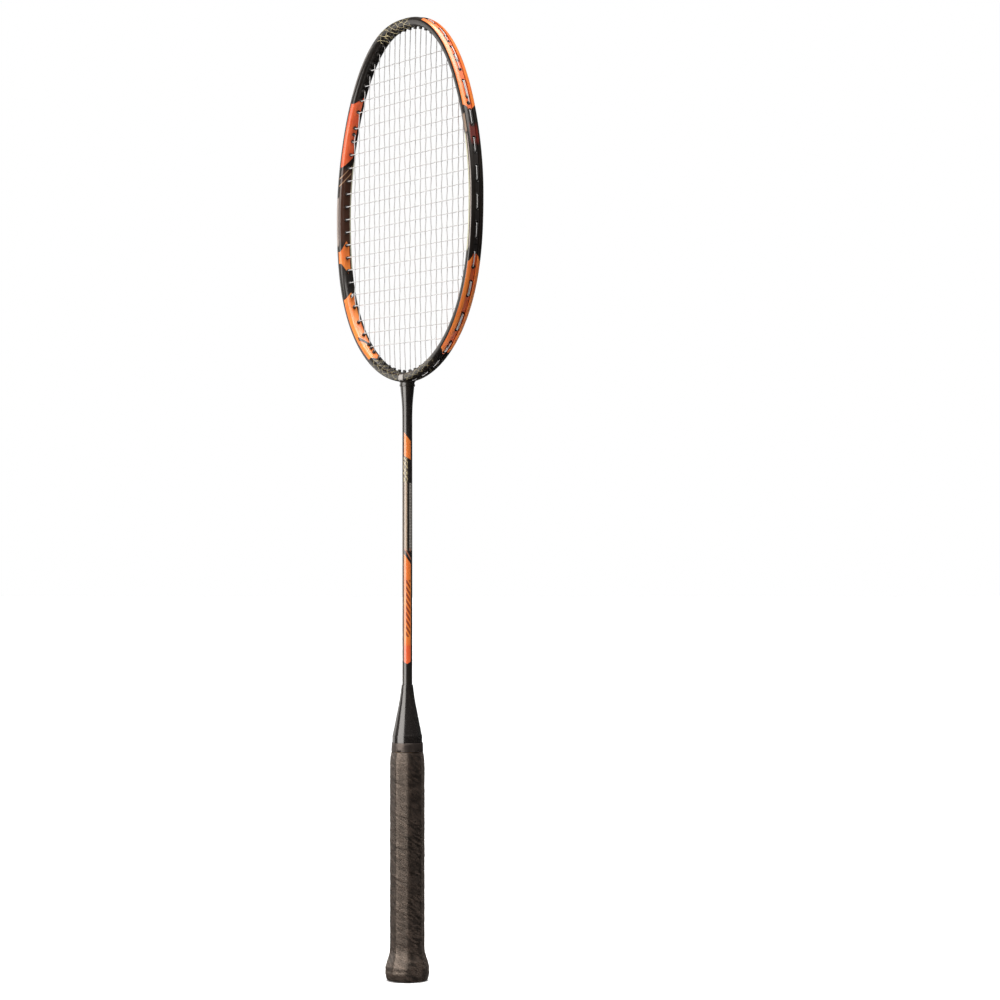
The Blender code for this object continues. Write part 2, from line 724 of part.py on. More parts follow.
core_rows = []
core_low = min(cap_room, BUTT_END_FLATS) - 2 * FIT_GAP
core_rows.append(octagon(core_low, wood_bottom, CORNER_CUT * 0.6))
for height, share in flare:
    z = FLARE_LOW + (BUTT_HEIGHT - FLARE_LOW) * height
    flats = GRIP_FLATS + (BUTT_FLATS - GRIP_FLATS) * share - core_inset
    core_rows.append(octagon(flats, z, CORNER_CUT * 0.6))
core_rows.append(octagon(core_flats, GRIP_TOP - FIT_GAP, CORNER_CUT * 0.6))
seat_gap = FIT_GAP * 1.5
round_rows = [
    (SKIRT_RADIUS - CONE_WALL - seat_gap, GRIP_TOP - FIT_GAP + 0.0001),
    (inside_cone(CONE_BASE) - seat_gap, CONE_BASE),
    (inside_cone(HANDLE_NECK_TOP) - seat_gap, HANDLE_NECK_TOP),
]
for r, z in round_rows:
    core_rows.append(circle(r, z, 16, math.pi / 16 - math.pi / 8))
wood = material("pale_wood", (0.62, 0.45, 0.27), 0.6)
core = new_object("handle_core", mesh_from("handle_core", *rings(core_rows)), wood)
bore_profile = [(SHAFT_ROOM, SHAFT_BOTTOM - FIT_GAP), (SHAFT_ROOM, HANDLE_NECK_TOP + 0.01)]
bore = new_object("cut_shaft_bore", mesh_from("cut_shaft_bore", *turned(bore_profile, 24)), cutter=True)
boolean(core, bore, "DIFFERENCE")

cap_profile = [
    (BUTT_CAP_RADIUS - 0.0004, 0.0),
    (BUTT_CAP_RADIUS, 0.0004),
    (BUTT_CAP_RADIUS, BUTT_CAP_THICKNESS),
]
butt_black = material("butt_black", (0.02, 0.02, 0.02), 0.45)
new_object("butt_cap", mesh_from("butt_cap", *turned(cap_profile, 28)), butt_black)

# ---------------------------------------------------------------- throat sticker
crown, flank, back = section(0.0)[2:5]
start_level = HEAD_BOTTOM - NECK_TOP - FIT_GAP * 1.5
part_way = (crown[0] - start_level) / (crown[0] - flank[0])
start = (start_level, crown[1] + (flank[1] - crown[1]) * part_way)
lift = FIT_GAP * 0.7
low_side = []
high_side = []
for level, y in (start, flank, back):
    low_side.append((level, y + lift))
    high_side.append((level, y + lift + STICKER_THICKNESS))
band = low_side + list(reversed(high_side))
ends = []
for x in (-STICKER_WIDTH / 2, STICKER_WIDTH / 2):
    ends.append([Vector((x, -y, HEAD_BOTTOM - n)) for n, y in band])
sticker = mesh_from("throat_sticker", *rings(ends))
new_object("throat_sticker", sticker, material("sticker_silver", (0.75, 0.75, 0.77), 0.25, 0.8))
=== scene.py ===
"""Looks of the badminton racket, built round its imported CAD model.

Metres, +Z up, the CAD model's own frame: the racket stands on its butt, X runs across the head
and -Y is the front.  Lengths inside materials are millimetres.
"""
import bisect
import math

import bmesh
import bpy
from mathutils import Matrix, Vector


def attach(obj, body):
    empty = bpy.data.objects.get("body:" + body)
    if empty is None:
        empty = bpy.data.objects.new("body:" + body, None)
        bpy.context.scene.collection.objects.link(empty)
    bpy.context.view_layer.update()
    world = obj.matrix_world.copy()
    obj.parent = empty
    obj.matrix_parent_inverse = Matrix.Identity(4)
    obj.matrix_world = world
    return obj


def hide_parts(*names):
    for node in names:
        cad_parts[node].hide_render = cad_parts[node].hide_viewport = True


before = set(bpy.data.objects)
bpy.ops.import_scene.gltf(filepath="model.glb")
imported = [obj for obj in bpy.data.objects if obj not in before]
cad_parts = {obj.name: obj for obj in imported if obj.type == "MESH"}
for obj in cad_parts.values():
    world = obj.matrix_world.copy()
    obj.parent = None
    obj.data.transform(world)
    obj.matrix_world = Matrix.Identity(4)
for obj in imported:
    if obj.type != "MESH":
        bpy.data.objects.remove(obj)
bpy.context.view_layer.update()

MM = 0.001
scene = bpy.context.scene

# ---------------- camera
VIEW_AZIMUTH = math.radians(60.0)
VIEW_DISTANCE = 2.107
VIEW_SIDE = 0.0651
VIEW_HEIGHT = 0.316

towards = Vector((-math.sin(VIEW_AZIMUTH), math.cos(VIEW_AZIMUTH), 0.0))
sideways = Vector((math.cos(VIEW_AZIMUTH), math.sin(VIEW_AZIMUTH), 0.0))
camera = bpy.data.objects.new("camera", bpy.data.cameras.new("camera"))
camera.data.lens = 108.0
camera.data.sensor_width = 36.0
camera.data.shift_y = 0.03
camera.location = -towards * VIEW_DISTANCE + sideways * VIEW_SIDE + Vector((0, 0, VIEW_HEIGHT))
camera.rotation_mode = "QUATERNION"
camera.rotation_quaternion = towards.to_track_quat("-Z", "Y")
scene.collection.objects.link(camera)
scene.camera = camera
scene.view_settings.view_transform = "Standard"

# ---------------- the CAD model's driving sizes
OVERALL_LENGTH = 0.675
HEAD_LENGTH = 0.2551
HEAD_HALF_WIDTH = 0.0976         # to the hoop's centreline
WIDEST_BELOW_TOP = 0.1296
TOP_SHAPE = (2.38, 1.72)         # exponents of the outline's two halves
LOWER_SHAPE = (1.83, 2.61)
HOOP_WIDTH = 0.0066
HOOP_THICKNESS = 0.0104
GROOVE_DEPTH = 0.00185
MAIN_COUNT = 22
CROSS_COUNT = 22
SIDE_MARGIN = 0.01675
TOP_MARGIN = 0.0257
THROAT_MARGIN = 0.0243
CROSS_END_GROWTH = 0.15
STRING_R = 0.00034
LANE = 0.0004                    # how far either string lies from the middle in its holes
SHARED_HOLE_SPACING = 0.0040
NECK_TOP_RADIUS = 0.0054
FIRST_EXIT = NECK_TOP_RADIUS + 0.0015
GROOVE_START = NECK_TOP_RADIUS - 0.0002
BAND_IN = HOOP_WIDTH / 2 - GROOVE_DEPTH + 0.0002
BAND_OUT = BAND_IN + 0.0005
BAND_HALF = 0.0016
LOOP_LEVEL = BAND_OUT + 0.0002 + STRING_R
TIP_LEVEL = -HOOP_WIDTH / 2 - 0.0017
STRIP_SPLIT = 0.0006
THROAT_Z = OVERALL_LENGTH - HEAD_LENGTH
HEAD_BOTTOM = THROAT_Z + HOOP_WIDTH / 2
HEAD_TOP = OVERALL_LENGTH - HOOP_WIDTH / 2
WIDEST_Z = OVERALL_LENGTH - WIDEST_BELOW_TOP
SHAFT_TOP = THROAT_Z - 0.0262
SHAFT_RADIUS = 0.0035
SHAFT_BOTTOM = 0.080
GRIP_TOP = 0.1602
GRIP_THICKNESS = 0.0018
BUTT_CAP_RADIUS = 0.0122
SKIRT_RADIUS = 0.01045
CONE_TOP = 0.2073


# ---------------- the hoop's centreline
def outline(turn):
    """Point of the centreline: 0 is the throat, a half turn is the top, +X first."""
    across = math.sin(turn)
    up = -math.cos(turn)
    ex, ez = TOP_SHAPE if up > 0 else LOWER_SHAPE
    rise = HEAD_TOP - WIDEST_Z if up > 0 else WIDEST_Z - HEAD_BOTTOM
    x = HEAD_HALF_WIDTH * math.copysign(abs(across) ** (2 / ex), across)
    z = WIDEST_Z + rise * math.copysign(abs(up) ** (2 / ez), up)
    return x, z


TABLE_SIZE = 20000
TABLE = [outline(2 * math.pi * i / TABLE_SIZE) for i in range(TABLE_SIZE + 1)]
REACH = [0.0]
for step in range(TABLE_SIZE):
    REACH.append(REACH[-1] + math.dist(TABLE[step], TABLE[step + 1]))
HOOP_LENGTH = REACH[-1]
HALF_HOOP = HOOP_LENGTH / 2
WIDEST_S = REACH[max(range(TABLE_SIZE // 2), key=lambda i: TABLE[i][0])]


def centre(s):
    """Centreline point at arc length s from the throat."""
    s %= HOOP_LENGTH
    i = min(max(bisect.bisect_right(REACH, s) - 1, 0), TABLE_SIZE - 1)
    f = (s - REACH[i]) / (REACH[i + 1] - REACH[i])
    x, z = (a + (b - a) * f for a, b in zip(TABLE[i], TABLE[i + 1]))
    return Vector((x, 0.0, z))


def along(s):
    """Unit direction of the centreline at s."""
    half = 0.0015
    return (centre(s + half) - centre(s - half)).normalized()


def outward(s):
    """Unit direction away from the middle of the head at s."""
    way = along(s)
    return Vector((way.z, 0.0, -way.x))


def at(s, level, y=0.0):
    """Point at arc length s, level outwards from the centreline, y through the head."""
    return centre(s) + outward(s) * level + Vector((0.0, y, 0.0))


def solve(test, low, high):
    """Where test changes sign between low and high."""
    start = test(low) > 0
    for _ in range(48):
        mid = (low + high) / 2
        if (test(mid) > 0) == start:
            low = mid
        else:
            high = mid
    return (low + high) / 2


def arc_of(z):
    """Arc length in millimetres from the throat where the centreline is z millimetres high."""
    return solve(lambda s: centre(s).z - z * MM, 0.0, HALF_HOOP - 1e-6) / MM


def throat_distance(s):
    """Millimetres along the hoop to the throat, the shorter way."""
    return min(s, HOOP_LENGTH - s) / MM


# ---------------- string pattern
main_pitch = (HEAD_HALF_WIDTH - SIDE_MARGIN) / (MAIN_COUNT / 2 - 0.5)
mains_x = [main_pitch * (k + 0.5) for k in range(MAIN_COUNT // 2)]

cross_spans = []
for k in range(CROSS_COUNT - 1):
    towards_end = abs(2 * (k + 0.5) / (CROSS_COUNT - 1) - 1)
    cross_spans.append(1 + CROSS_END_GROWTH * towards_end ** 6)
cross_first = HEAD_TOP - TOP_MARGIN
cross_last = HEAD_BOTTOM + THROAT_MARGIN
cross_unit = (cross_first - cross_last) / sum(cross_spans)
crosses_z = [cross_first]
for span in cross_spans:
    crosses_z.append(crosses_z[-1] - span * cross_unit)

found = []
for k, x in enumerate(mains_x):
    low_s = solve(lambda s: at(s, TIP_LEVEL).x - x, 0.001, WIDEST_S) if k else FIRST_EXIT
    found.append([low_s, ("main", k, "low")])
    high_s = solve(lambda s: at(s, TIP_LEVEL).x - x, WIDEST_S, HALF_HOOP - 1e-4)
    found.append([high_s, ("main", k, "top")])
for k, z in enumerate(crosses_z):
    found.append([solve(lambda s: at(s, TIP_LEVEL).z - z, 0.001, HALF_HOOP - 1e-4), ("cross", k)])
found.sort()

# a main and a cross that come out close together share one hole
holes = []
for s, user in found:
    alone = holes and len(holes[-1][1]) == 1 and holes[-1][1][0][0] != user[0]
    if alone and s - holes[-1][0] < SHARED_HOLE_SPACING:
        holes[-1][0] = (holes[-1][0] + s) / 2
        holes[-1][1].append(user)
    else:
        holes.append([s, [user]])
hole_of = {user: n for n, (s, users) in enumerate(holes) for user in users}


class Hole:
    """One drilled hole with its barrel: side +1 is +X and -1 is -X."""

    def __init__(self, number, side):
        s = holes[number][0]
        self.s = s if side > 0 else HOOP_LENGTH - s
        self.side = side
        self.mouth = at(self.s, LOOP_LEVEL)
        self.tip = at(self.s, TIP_LEVEL)
        if number == 0:          # the first holes clear the neck and lean in to their mains
            self.tip = at(mains_x[0], TIP_LEVEL)
            self.tip.x = side * mains_x[0]
        self.axis = (self.mouth - self.tip).normalized()

    def inner_end(self, lane):
        """Where a string in this lane bends into the hole from the bed."""
        return self.tip - self.axis * 0.00035 + Vector((0, lane, 0))


# ---------------- mesh helpers
def piece(name, shape, node, materials, marks=None, paints=None, crease=None):
    """A shown piece that rides with the racket and stands for its CAD node."""
    verts, faces = shape
    mesh = bpy.data.meshes.new(name)
    mesh.from_pydata([tuple(v) for v in verts], [], faces)
    for key, values in (marks or {}).items():
        mesh.attributes.new(key, "FLOAT", "POINT").data.foreach_set("value", values)
    for material in materials:
        mesh.materials.append(material)
    if paints:
        mesh.polygons.foreach_set("material_index", paints)
    work = bmesh.new()
    work.from_mesh(mesh)
    bmesh.ops.recalc_face_normals(work, faces=work.faces)
    work.to_mesh(mesh)
    work.free()
    mesh.shade_smooth()
    if crease:
        mesh.set_sharp_from_angle(angle=math.radians(crease))
    made = bpy.data.objects.new(name, mesh)
    scene.collection.objects.link(made)
    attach(made, "root")
    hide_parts(node)


def skin(loops, closed=False):
    """Vertices and faces over rings of equal size, joined end to end or capped."""
    count = len(loops[0])
    verts = [p for loop in loops for p in loop]
    faces = []
    for i in range(len(loops) if closed else len(loops) - 1):
        a = i * count
        b = (i + 1) % len(loops) * count
        for k in range(count):
            n = (k + 1) % count
            faces.append((a + k, a + n, b + n, b + k))
    if not closed:
        faces += [tuple(range(count)), tuple(range(len(verts) - count, len(verts)))]
    return verts, faces


def mm(*points):
    """Profile points that are given in millimetres."""
    return [(a * MM, b * MM) for a, b in points]


def spread(low, high, steps):
    """Evenly spaced numbers from low to high."""
    return [low + (high - low) * k / steps for k in range(steps + 1)]


def angles(count):
    """Evenly spaced angles once round."""
    return [2 * math.pi * k / count for k in range(count)]


def ring(radius, z, sides):
    """A level ring of points about the racket's axis; radius may be a function of the angle."""
    reach = radius if callable(radius) else lambda a: radius
    return [Vector((reach(a) * math.cos(a), reach(a) * math.sin(a), z)) for a in angles(sides)]


def smooth_line(points, each):
    """Catmull-Rom points through a profile, with each steps between neighbours."""
    made = []
    for i in range(len(points) - 1):
        near = (points[max(i - 1, 0)], points[i], points[i + 1], points[min(i + 2, len(points) - 1)])
        for k in range(each):
            t = k / each
            made.append(tuple(
                0.5 * (2 * b + (c - a) * t + (2 * a - 5 * b + 4 * c - d) * t * t
                       + (3 * b - a - 3 * c + d) * t ** 3)
                for a, b, c, d in zip(*near)))
    return made + [tuple(points[-1])]


def ease(value, low, high):
    """Smooth rise from 0 at low to 1 at high."""
    t = min(max((value - low) / (high - low), 0.0), 1.0)
    return t * t * (3 - 2 * t)


# ---------------- material helpers
class Value:
    """One number in a node tree, with arithmetic."""

    def __init__(self, tree, socket):
        self.tree = tree
        self.socket = socket

    def math(self, operation, *others, clamp=False):
        return self.tree.math(operation, self, *others, clamp=clamp)

    def __add__(self, other):
        return self.math("ADD", other)

    def __mul__(self, other):
        return self.math("MULTIPLY", other)

    def __sub__(self, other):
        return self.math("SUBTRACT", other)

    def __rsub__(self, other):
        return self.tree.math("SUBTRACT", other, self)

    def __or__(self, other):
        return self.math("MAXIMUM", other)

    def __abs__(self):
        return self.math("ABSOLUTE")

    def over(self, edge, soft=0.12):
        """1 above edge and 0 below it, with a soft border that wide."""
        return (self - edge).math("MULTIPLY_ADD", 1 / soft, 0.5, clamp=True)

    def under(self, edge, soft=0.12):
        return 1.0 - self.over(edge, soft)

    def between(self, low, high, soft=0.12):
        return self.over(low, soft) * self.under(high, soft)

    def stripes(self, pitch, width, soft=0.12):
        """1 on lines that wide, once every pitch."""
        return self.math("PINGPONG", pitch / 2).under(width / 2, soft)

    def remap(self, low, high, to_low, to_high):
        return Value(self.tree, self.tree.node("MapRange", (self, low, high, to_low, to_high)))


class Tree:
    """Short calls that build a node tree."""

    def __init__(self, tree):
        self.tree = tree

    def feed(self, socket, value):
        """Put a number, a colour or another node's output into a socket."""
        if isinstance(value, Value):
            value = value.socket
        if isinstance(value, bpy.types.NodeSocket):
            self.tree.links.new(value, socket)
        elif socket.type == "RGBA":
            socket.default_value = (*value, 1.0)
        else:
            socket.default_value = value

    def node(self, kind, values=(), out=0, **settings):
        """One output of a new node; values go to its inputs, by place or by name."""
        made = self.tree.nodes.new("ShaderNode" + kind)
        for key, setting in settings.items():
            setattr(made, key, setting)
        for key, value in values.items() if isinstance(values, dict) else enumerate(values):
            self.feed(made.inputs[key], value)
        return made.outputs[out]

    def math(self, operation, *values, clamp=False):
        return Value(self, self.node("Math", values, operation=operation, use_clamp=clamp))

    def mix(self, share, a, b):
        return self.node("Mix", {0: share, 6: a, 7: b}, 2, data_type="RGBA")


class Shade(Tree):
    """One Principled material; the lengths in its nodes are millimetres."""

    def __init__(self, name, constants):
        self.material = bpy.data.materials.new(name)
        self.material.use_nodes = True
        super().__init__(self.material.node_tree)
        self.shader = self.tree.nodes["Principled BSDF"]
        self.set(constants)
        place = self.node("TexCoord", out="Object")
        self.place = self.node("VectorMath", {0: place, "Scale": 1 / MM}, operation="SCALE")
        self.x, self.y, self.z = (
            Value(self, out) for out in self.node("SeparateXYZ", (self.place,)).node.outputs)

    def set(self, values):
        for key, value in values.items():
            self.feed(self.shader.inputs[key], value)

    def attribute(self, name):
        return Value(self, self.node("Attribute", out="Fac", attribute_name=name))

    def vector(self, *numbers):
        return self.node("CombineXYZ", numbers)

    def drawn(self, share):
        """The place with its height scaled, to stretch or squeeze a pattern upwards."""
        return self.vector(self.x, self.y, self.z * share)

    def noise(self, scale, detail=2.0, roughness=0.5, vector=None, distortion=0.0):
        values = {"Vector": vector or self.place, "Scale": scale, "Detail": detail,
                  "Roughness": roughness, "Distortion": distortion}
        return Value(self, self.node("TexNoise", values, "Fac"))

    def angle(self):
        """Degrees round the racket's axis, 0 at the front and 90 at +X."""
        return self.x.math("ARCTAN2", self.y * -1.0) * (180 / math.pi)

    def bump(self, height, distance, strength=1.0):
        return self.node("Bump", {"Strength": strength, "Distance": distance, "Height": height})

    def finish(self, colour, rough, normal):
        self.set({"Base Color": colour, "Roughness": rough, "Normal": normal})
        return self.material


COAT = "Coat Weight"
COAT_ROUGH = "Coat Roughness"
SPECULAR = "Specular IOR Level"

ORANGE = (0.80, 0.180, 0.036)
WARM_ORANGE = (0.80, 0.245, 0.040)
RED_ORANGE = (0.76, 0.096, 0.032)
BRIGHT_RED = (0.80, 0.150, 0.045)
GROOVE_RED = (0.78, 0.140, 0.035)
BLACK = (0.0085, 0.0062, 0.0050)
FIBRE_GREY = (0.020, 0.015, 0.012)
WEAR_GREY = (0.10, 0.075, 0.055)
BAND_BLACK = (0.017, 0.014, 0.013)
BROWN = (0.058, 0.023, 0.013)
DARK_RED = (0.13, 0.014, 0.009)
CHAMPAGNE = (0.36, 0.265, 0.185)
TAN = (0.60, 0.42, 0.30)
COPPER = (0.50, 0.30, 0.18)
# grey of a painted highlight: a lighter line along the black face of the hoop
PAINTED_HIGHLIGHT_GREY = (0.20, 0.175, 0.16)
PINK_GREY = (0.42, 0.345, 0.31)
KHAKI = (0.66, 0.64, 0.46)
CREAM = (0.54, 0.46, 0.26)

# pointed zones of the hoop: (low arc, high arc, length of the points), all millimetres
OUTER_SPANS = [(arc_of(438.6), arc_of(505.0), 7.0), (arc_of(599.0), HALF_HOOP / MM - 25.0, 4.0)]
INNER_SPANS = [(arc_of(502.0), arc_of(526.5), 8.0), (arc_of(435.0), arc_of(487.5), 5.0)]


def zones(arc, across, spans):
    """1 in two pointed zones along the hoop; across runs from 0 in the middle to 1 at the edge."""
    first, second = (
        arc.over(across * point + low, 0.25) * (high - across * point).over(arc, 0.25)
        for low, high, point in spans)
    return first | second


def blot(arc):
    return arc.between(arc_of(577.0), arc_of(589.0), 4.0)


def flakes(m, colour, amount):
    """Slight mottling of a paint by its pigment and what wear has done to it."""
    grain = m.noise(2.2, 3.0, 0.7).remap(0.35, 0.8, 0.0, amount)
    cloud = m.noise(0.07, 3.0, 0.6).remap(0.45, 0.8, 0.0, 0.10)
    return m.mix(cloud, m.mix(grain, colour, (0.0, 0.0, 0.0)), WEAR_GREY)


def lacquered(m, colour, mottling):
    """A paint under sprayed and polished lacquer, with its fine relief and uneven gloss."""
    rough = m.noise(0.09, 5.0, 0.7).remap(0.3, 0.75, 0.26, 0.44)
    return m.finish(flakes(m, colour, mottling), rough, m.bump(m.noise(0.55, 2.0, 0.6), 0.00003, 0.12))


def hoop_colour(m, arc, level):
    """The painted design of the hoop; it looks the same after half a turn about the handle."""
    deep = abs(m.y)
    right = m.x.over(0.0, 0.02)
    near = m.y * (right * 2.0 - 1.0)
    shown = near.over(0.0, 0.05)
    outer = zones(arc, (deep * (1 / 4.2)).math("MINIMUM", 1.0), OUTER_SPANS) * level.over(2.15, 0.2)

    # the inner wall with the nearer part of the face it turns into
    inner_wall = level.under(-0.3, 0.25) * near.over(-2.3, 0.25)
    red = (arc + near * 1.1).over(arc_of(585.5), 0.25) * (arc + near * 0.9).under(arc_of(628.5), 0.25)
    slash = (arc - near * 1.3).between(arc_of(446.5), arc_of(449.5), 0.4) * level.under(-1.9, 0.3)
    lower = zones(arc, (deep * (1 / 4.6)).math("MINIMUM", 1.0), INNER_SPANS)
    lower = lower * (1.0 - slash) * inner_wall
    brown = arc.between(arc_of(525.0), arc_of(579.0), 3.0) * level.under(-1.4, 0.5)
    colour = m.mix(brown, BLACK, BROWN)

    # lines on the faces: side, levels, heights, softness of both, strength, colour; the grey line from 629 to
    # 661 mm is a painted highlight, the others are print
    face = deep.over(3.2, 0.2)
    front = face * shown
    back = face * (1.0 - shown)
    for side, levels, heights, edge, fade, strength, paint in (
        (back, (-3.0, 0.7), (505.0, 584.0), 0.2, 2.0, 0.8, KHAKI),
        (back, (1.5, 2.1), (507.0, 583.0), 0.15, 2.0, 0.7, PINK_GREY),
        (back, (0.3, 2.2), (584.5, 597.0), 0.2, 1.0, 0.4, TAN),
        # painted highlight: a lighter grey line high on the face, standing in for light caught by the lacquer
        (front, (0.2, 1.9), (629.0, 661.0), 0.3, 1.5, 0.6, PAINTED_HIGHLIGHT_GREY),
        (front, (-1.0, 2.4), (523.0, 558.0), 0.3, 1.5, 0.75, PINK_GREY),
    ):
        line = level.between(*levels, edge) * arc.between(*map(arc_of, heights), fade)
        colour = m.mix(line * side * strength, colour, paint)

    # crossing fine lines at the crown and throat, and two below the upper red part
    wander = arc + m.noise(0.16, 2.0, 0.5) * 9.0
    lines = (wander + level * 1.7).stripes(7.8, 0.75, 0.25) | (wander - level * 2.6).stripes(9.4, 0.6, 0.25)
    lines = lines * level.under(2.6, 0.2)
    colour = m.mix(lines * arc.over(right * 25.0 + (HALF_HOOP / MM - 37.0), 1.5) * 0.9, colour, CREAM)
    colour = m.mix(lines * arc.under(46.0, 4.0) * arc.over(5.0, 2.0) * 0.42, colour, CREAM)
    sweep = arc + near * 1.15 + level * 0.5 - arc_of(577.5)
    tails = sweep.stripes(5.4, 1.0, 0.25) * sweep.between(-7.0, 2.0) * inner_wall
    colour = m.mix(tails * 0.8, colour, COPPER)
    colour = m.mix(blot(arc) * level.over(1.2, 0.3) * deep.under(3.2, 0.3), colour, DARK_RED)

    bloom = m.noise(0.10, 2.0, 0.5).remap(0.35, 0.7, 0.0, 1.0)
    colour = m.mix(outer | lower, colour, m.mix(bloom, ORANGE, WARM_ORANGE))
    colour = m.mix(red * inner_wall, colour, m.mix(bloom, RED_ORANGE, BRIGHT_RED))
    return m.mix(deep.under(2.0, 0.25) * level.over(0.6, 0.2) * outer, colour, GROOVE_RED)


def head_material():
    m = Shade("head_paint", {COAT: 0.5, COAT_ROUGH: 0.18, SPECULAR: 0.35})
    return lacquered(m, hoop_colour(m, m.attribute("arc"), m.attribute("level")), 0.22)


def band_material():
    """The grommet strips take the colour of the paint they lie in."""
    m = Shade("grommet_band", {})
    arc = m.attribute("arc")
    colour = m.mix(blot(arc), BAND_BLACK, DARK_RED)
    lit = zones(arc, (abs(m.y) * (1 / 4.2)).math("MINIMUM", 1.0), OUTER_SPANS)
    colour = m.mix(lit, colour, GROOVE_RED)
    grain = m.noise(1.6, 4.0, 0.65)
    rough = grain.remap(0.3, 0.8, 0.38, 0.62)
    return m.finish(flakes(m, colour, 0.3), rough, m.bump(grain, 0.00004, 0.5))


def moulded_material(name, scale, roughness, dark, light, gloss, relief):
    """Moulded plastic with one grain for its colour, gloss and relief."""
    m = Shade(name, {})
    grain = m.noise(scale, 4.0, roughness)
    return m.finish(m.mix(grain, dark, light), grain.remap(0.3, 0.8, *gloss), m.bump(grain, relief, 0.5))


def string_material():
    """Multifilament core wound in a clear skin: a fine twist shows through."""
    m = Shade("string_nylon", {})
    twist = (m.attribute("run") + m.attribute("turn") * 1.4).stripes(0.7, 0.30, 0.2)
    wear = m.noise(0.12, 3.0, 0.6)
    colour = m.mix(twist, (0.56, 0.560, 0.565), (0.42, 0.420, 0.425))
    colour = m.mix(wear.remap(0.5, 0.8, 0.0, 0.35), colour, (0.36, 0.30, 0.28))
    return m.finish(colour, wear.remap(0.3, 0.8, 0.24, 0.42), m.bump(twist, 0.00002, 0.5))


def carbon(m, scale, stretch, amount):
    """Black with the faint drawn-out grain of the fibre below it."""
    fibre = m.noise(scale, 4.0, 0.7, m.drawn(stretch))
    return m.mix(fibre.remap(0.35, 0.75, 0.0, amount), BLACK, FIBRE_GREY)


def shaft_material():
    m = Shade("shaft_paint", {COAT: 1.0, COAT_ROUGH: 0.12})
    z = m.z
    face = m.angle().math("WRAP", 180.0, 0.0)    # the design is the same after half a turn
    panel = face.between(21.0, 105.0, 2.5)
    colour = carbon(m, 0.8, 0.12, 0.7)

    # the short band below the neck, with slanting ends
    slope = (face - 21.0) * (1 / 84.0)
    band = z.under(384.6 - slope * 6.5, 0.25) * z.over(368.2 - slope * 3.0, 0.25) * panel

    # crossed lines, then a long pale stripe, faint rims and a fine beaded line
    lattice = z.between(349.0, 367.0, 0.3) * face.between(10.0, 66.0, 3.0)
    slants = (z + m.noise(0.3, 2.0, 0.5) * 3.0 + face * 0.09).stripes(3.9, 1.2, 0.35)
    slants = slants | (z - face * 0.13).stripes(5.2, 0.9, 0.35)
    colour = m.mix(lattice * 0.25, colour, CHAMPAGNE)
    colour = m.mix(lattice * (slants * 0.75), colour, CREAM)
    long_zone = z.between(301.5, 349.0, 0.3)
    colour = m.mix(long_zone * face.between(26.0, 60.0, 2.0) * 0.95, colour, CHAMPAGNE)
    rims = z.between(224.0, 349.0, 0.3) * (face.over(150.0, 3.0) | face.under(13.0, 3.0))
    colour = m.mix(rims * 0.30, colour, CHAMPAGNE)
    beads = z.stripes(2.1, 1.2, 0.4) * 0.35 + 0.45
    colour = m.mix(long_zone * face.between(85.0, 121.0, 3.0) * beads, colour, (0.34, 0.32, 0.29))
    slanted = z + face * 0.10
    swash = z.between(291.0, 303.0, 0.3) * slanted.stripes(6.0, 1.6, 0.3)
    colour = m.mix(swash * panel, colour, (0.36, 0.12, 0.06))

    # the long band: a slanting top, a pointed foot, plain dashes, redder at the bottom
    top = (90.0 - face) * 0.085 + 293.5
    foot = abs(face - 60.0) * (1 / 45.0) * 1.8 + 222.0
    long_band = z.under(top, 0.3) * z.over(foot, 0.3) * panel
    dashes = slanted.stripes(4.6, 2.5, 0.3) * face.between(44.0, 98.0, 3.0) * z.between(241.0, 281.0, 0.3)
    bloom = m.noise(0.12, 2.0, 0.5).remap(0.35, 0.7, 0.0, 1.0)
    orange = m.mix(dashes * 0.9, m.mix(bloom, ORANGE, WARM_ORANGE), (0.20, 0.020, 0.010))
    orange = m.mix(z.under(235.0, 1.0) * 0.8, orange, RED_ORANGE)
    return lacquered(m, m.mix(band | long_band, colour, orange), 0.2)


def neck_material():
    m = Shade("neck_paint", {COAT: 1.0, COAT_ROUGH: 0.14})
    return lacquered(m, carbon(m, 0.9, 0.15, 0.8), 0.2)


def cone_material():
    """Glossy moulded plastic with the faint flow marks and scuffs of use."""
    m = Shade("cone_plastic", {COAT: 0.8, COAT_ROUGH: 0.12})
    flow = m.noise(0.25, 4.0, 0.6, m.drawn(0.25))
    rough = m.noise(0.5, 6.0, 0.75).remap(0.35, 0.75, 0.16, 0.36)
    colour = m.mix(flow, (0.004, 0.003, 0.0028), (0.014, 0.011, 0.0095))
    return m.finish(colour, rough, m.bump(m.noise(0.35, 2.0), 0.00004, 0.3))


def tape_material():
    """Thin tape: fine crosswise weave under its film."""
    m = Shade("finishing_tape", {SPECULAR: 0.8, "Specular Tint": (1.0, 0.86, 0.78)})
    weave = m.z.stripes(0.55, 0.26, 0.2) * 0.8 | m.angle().stripes(3.0, 1.4, 1.0)
    cloud = m.noise(0.22, 4.0, 0.65)
    colour = m.mix(weave, (0.010, 0.008, 0.007), (0.024, 0.019, 0.017))
    colour = m.mix(cloud.remap(0.45, 0.8, 0.0, 0.4), colour, (0.050, 0.040, 0.034))
    return m.finish(colour, cloud.remap(0.3, 0.8, 0.26, 0.46), m.bump(weave, 0.00005, 0.5))


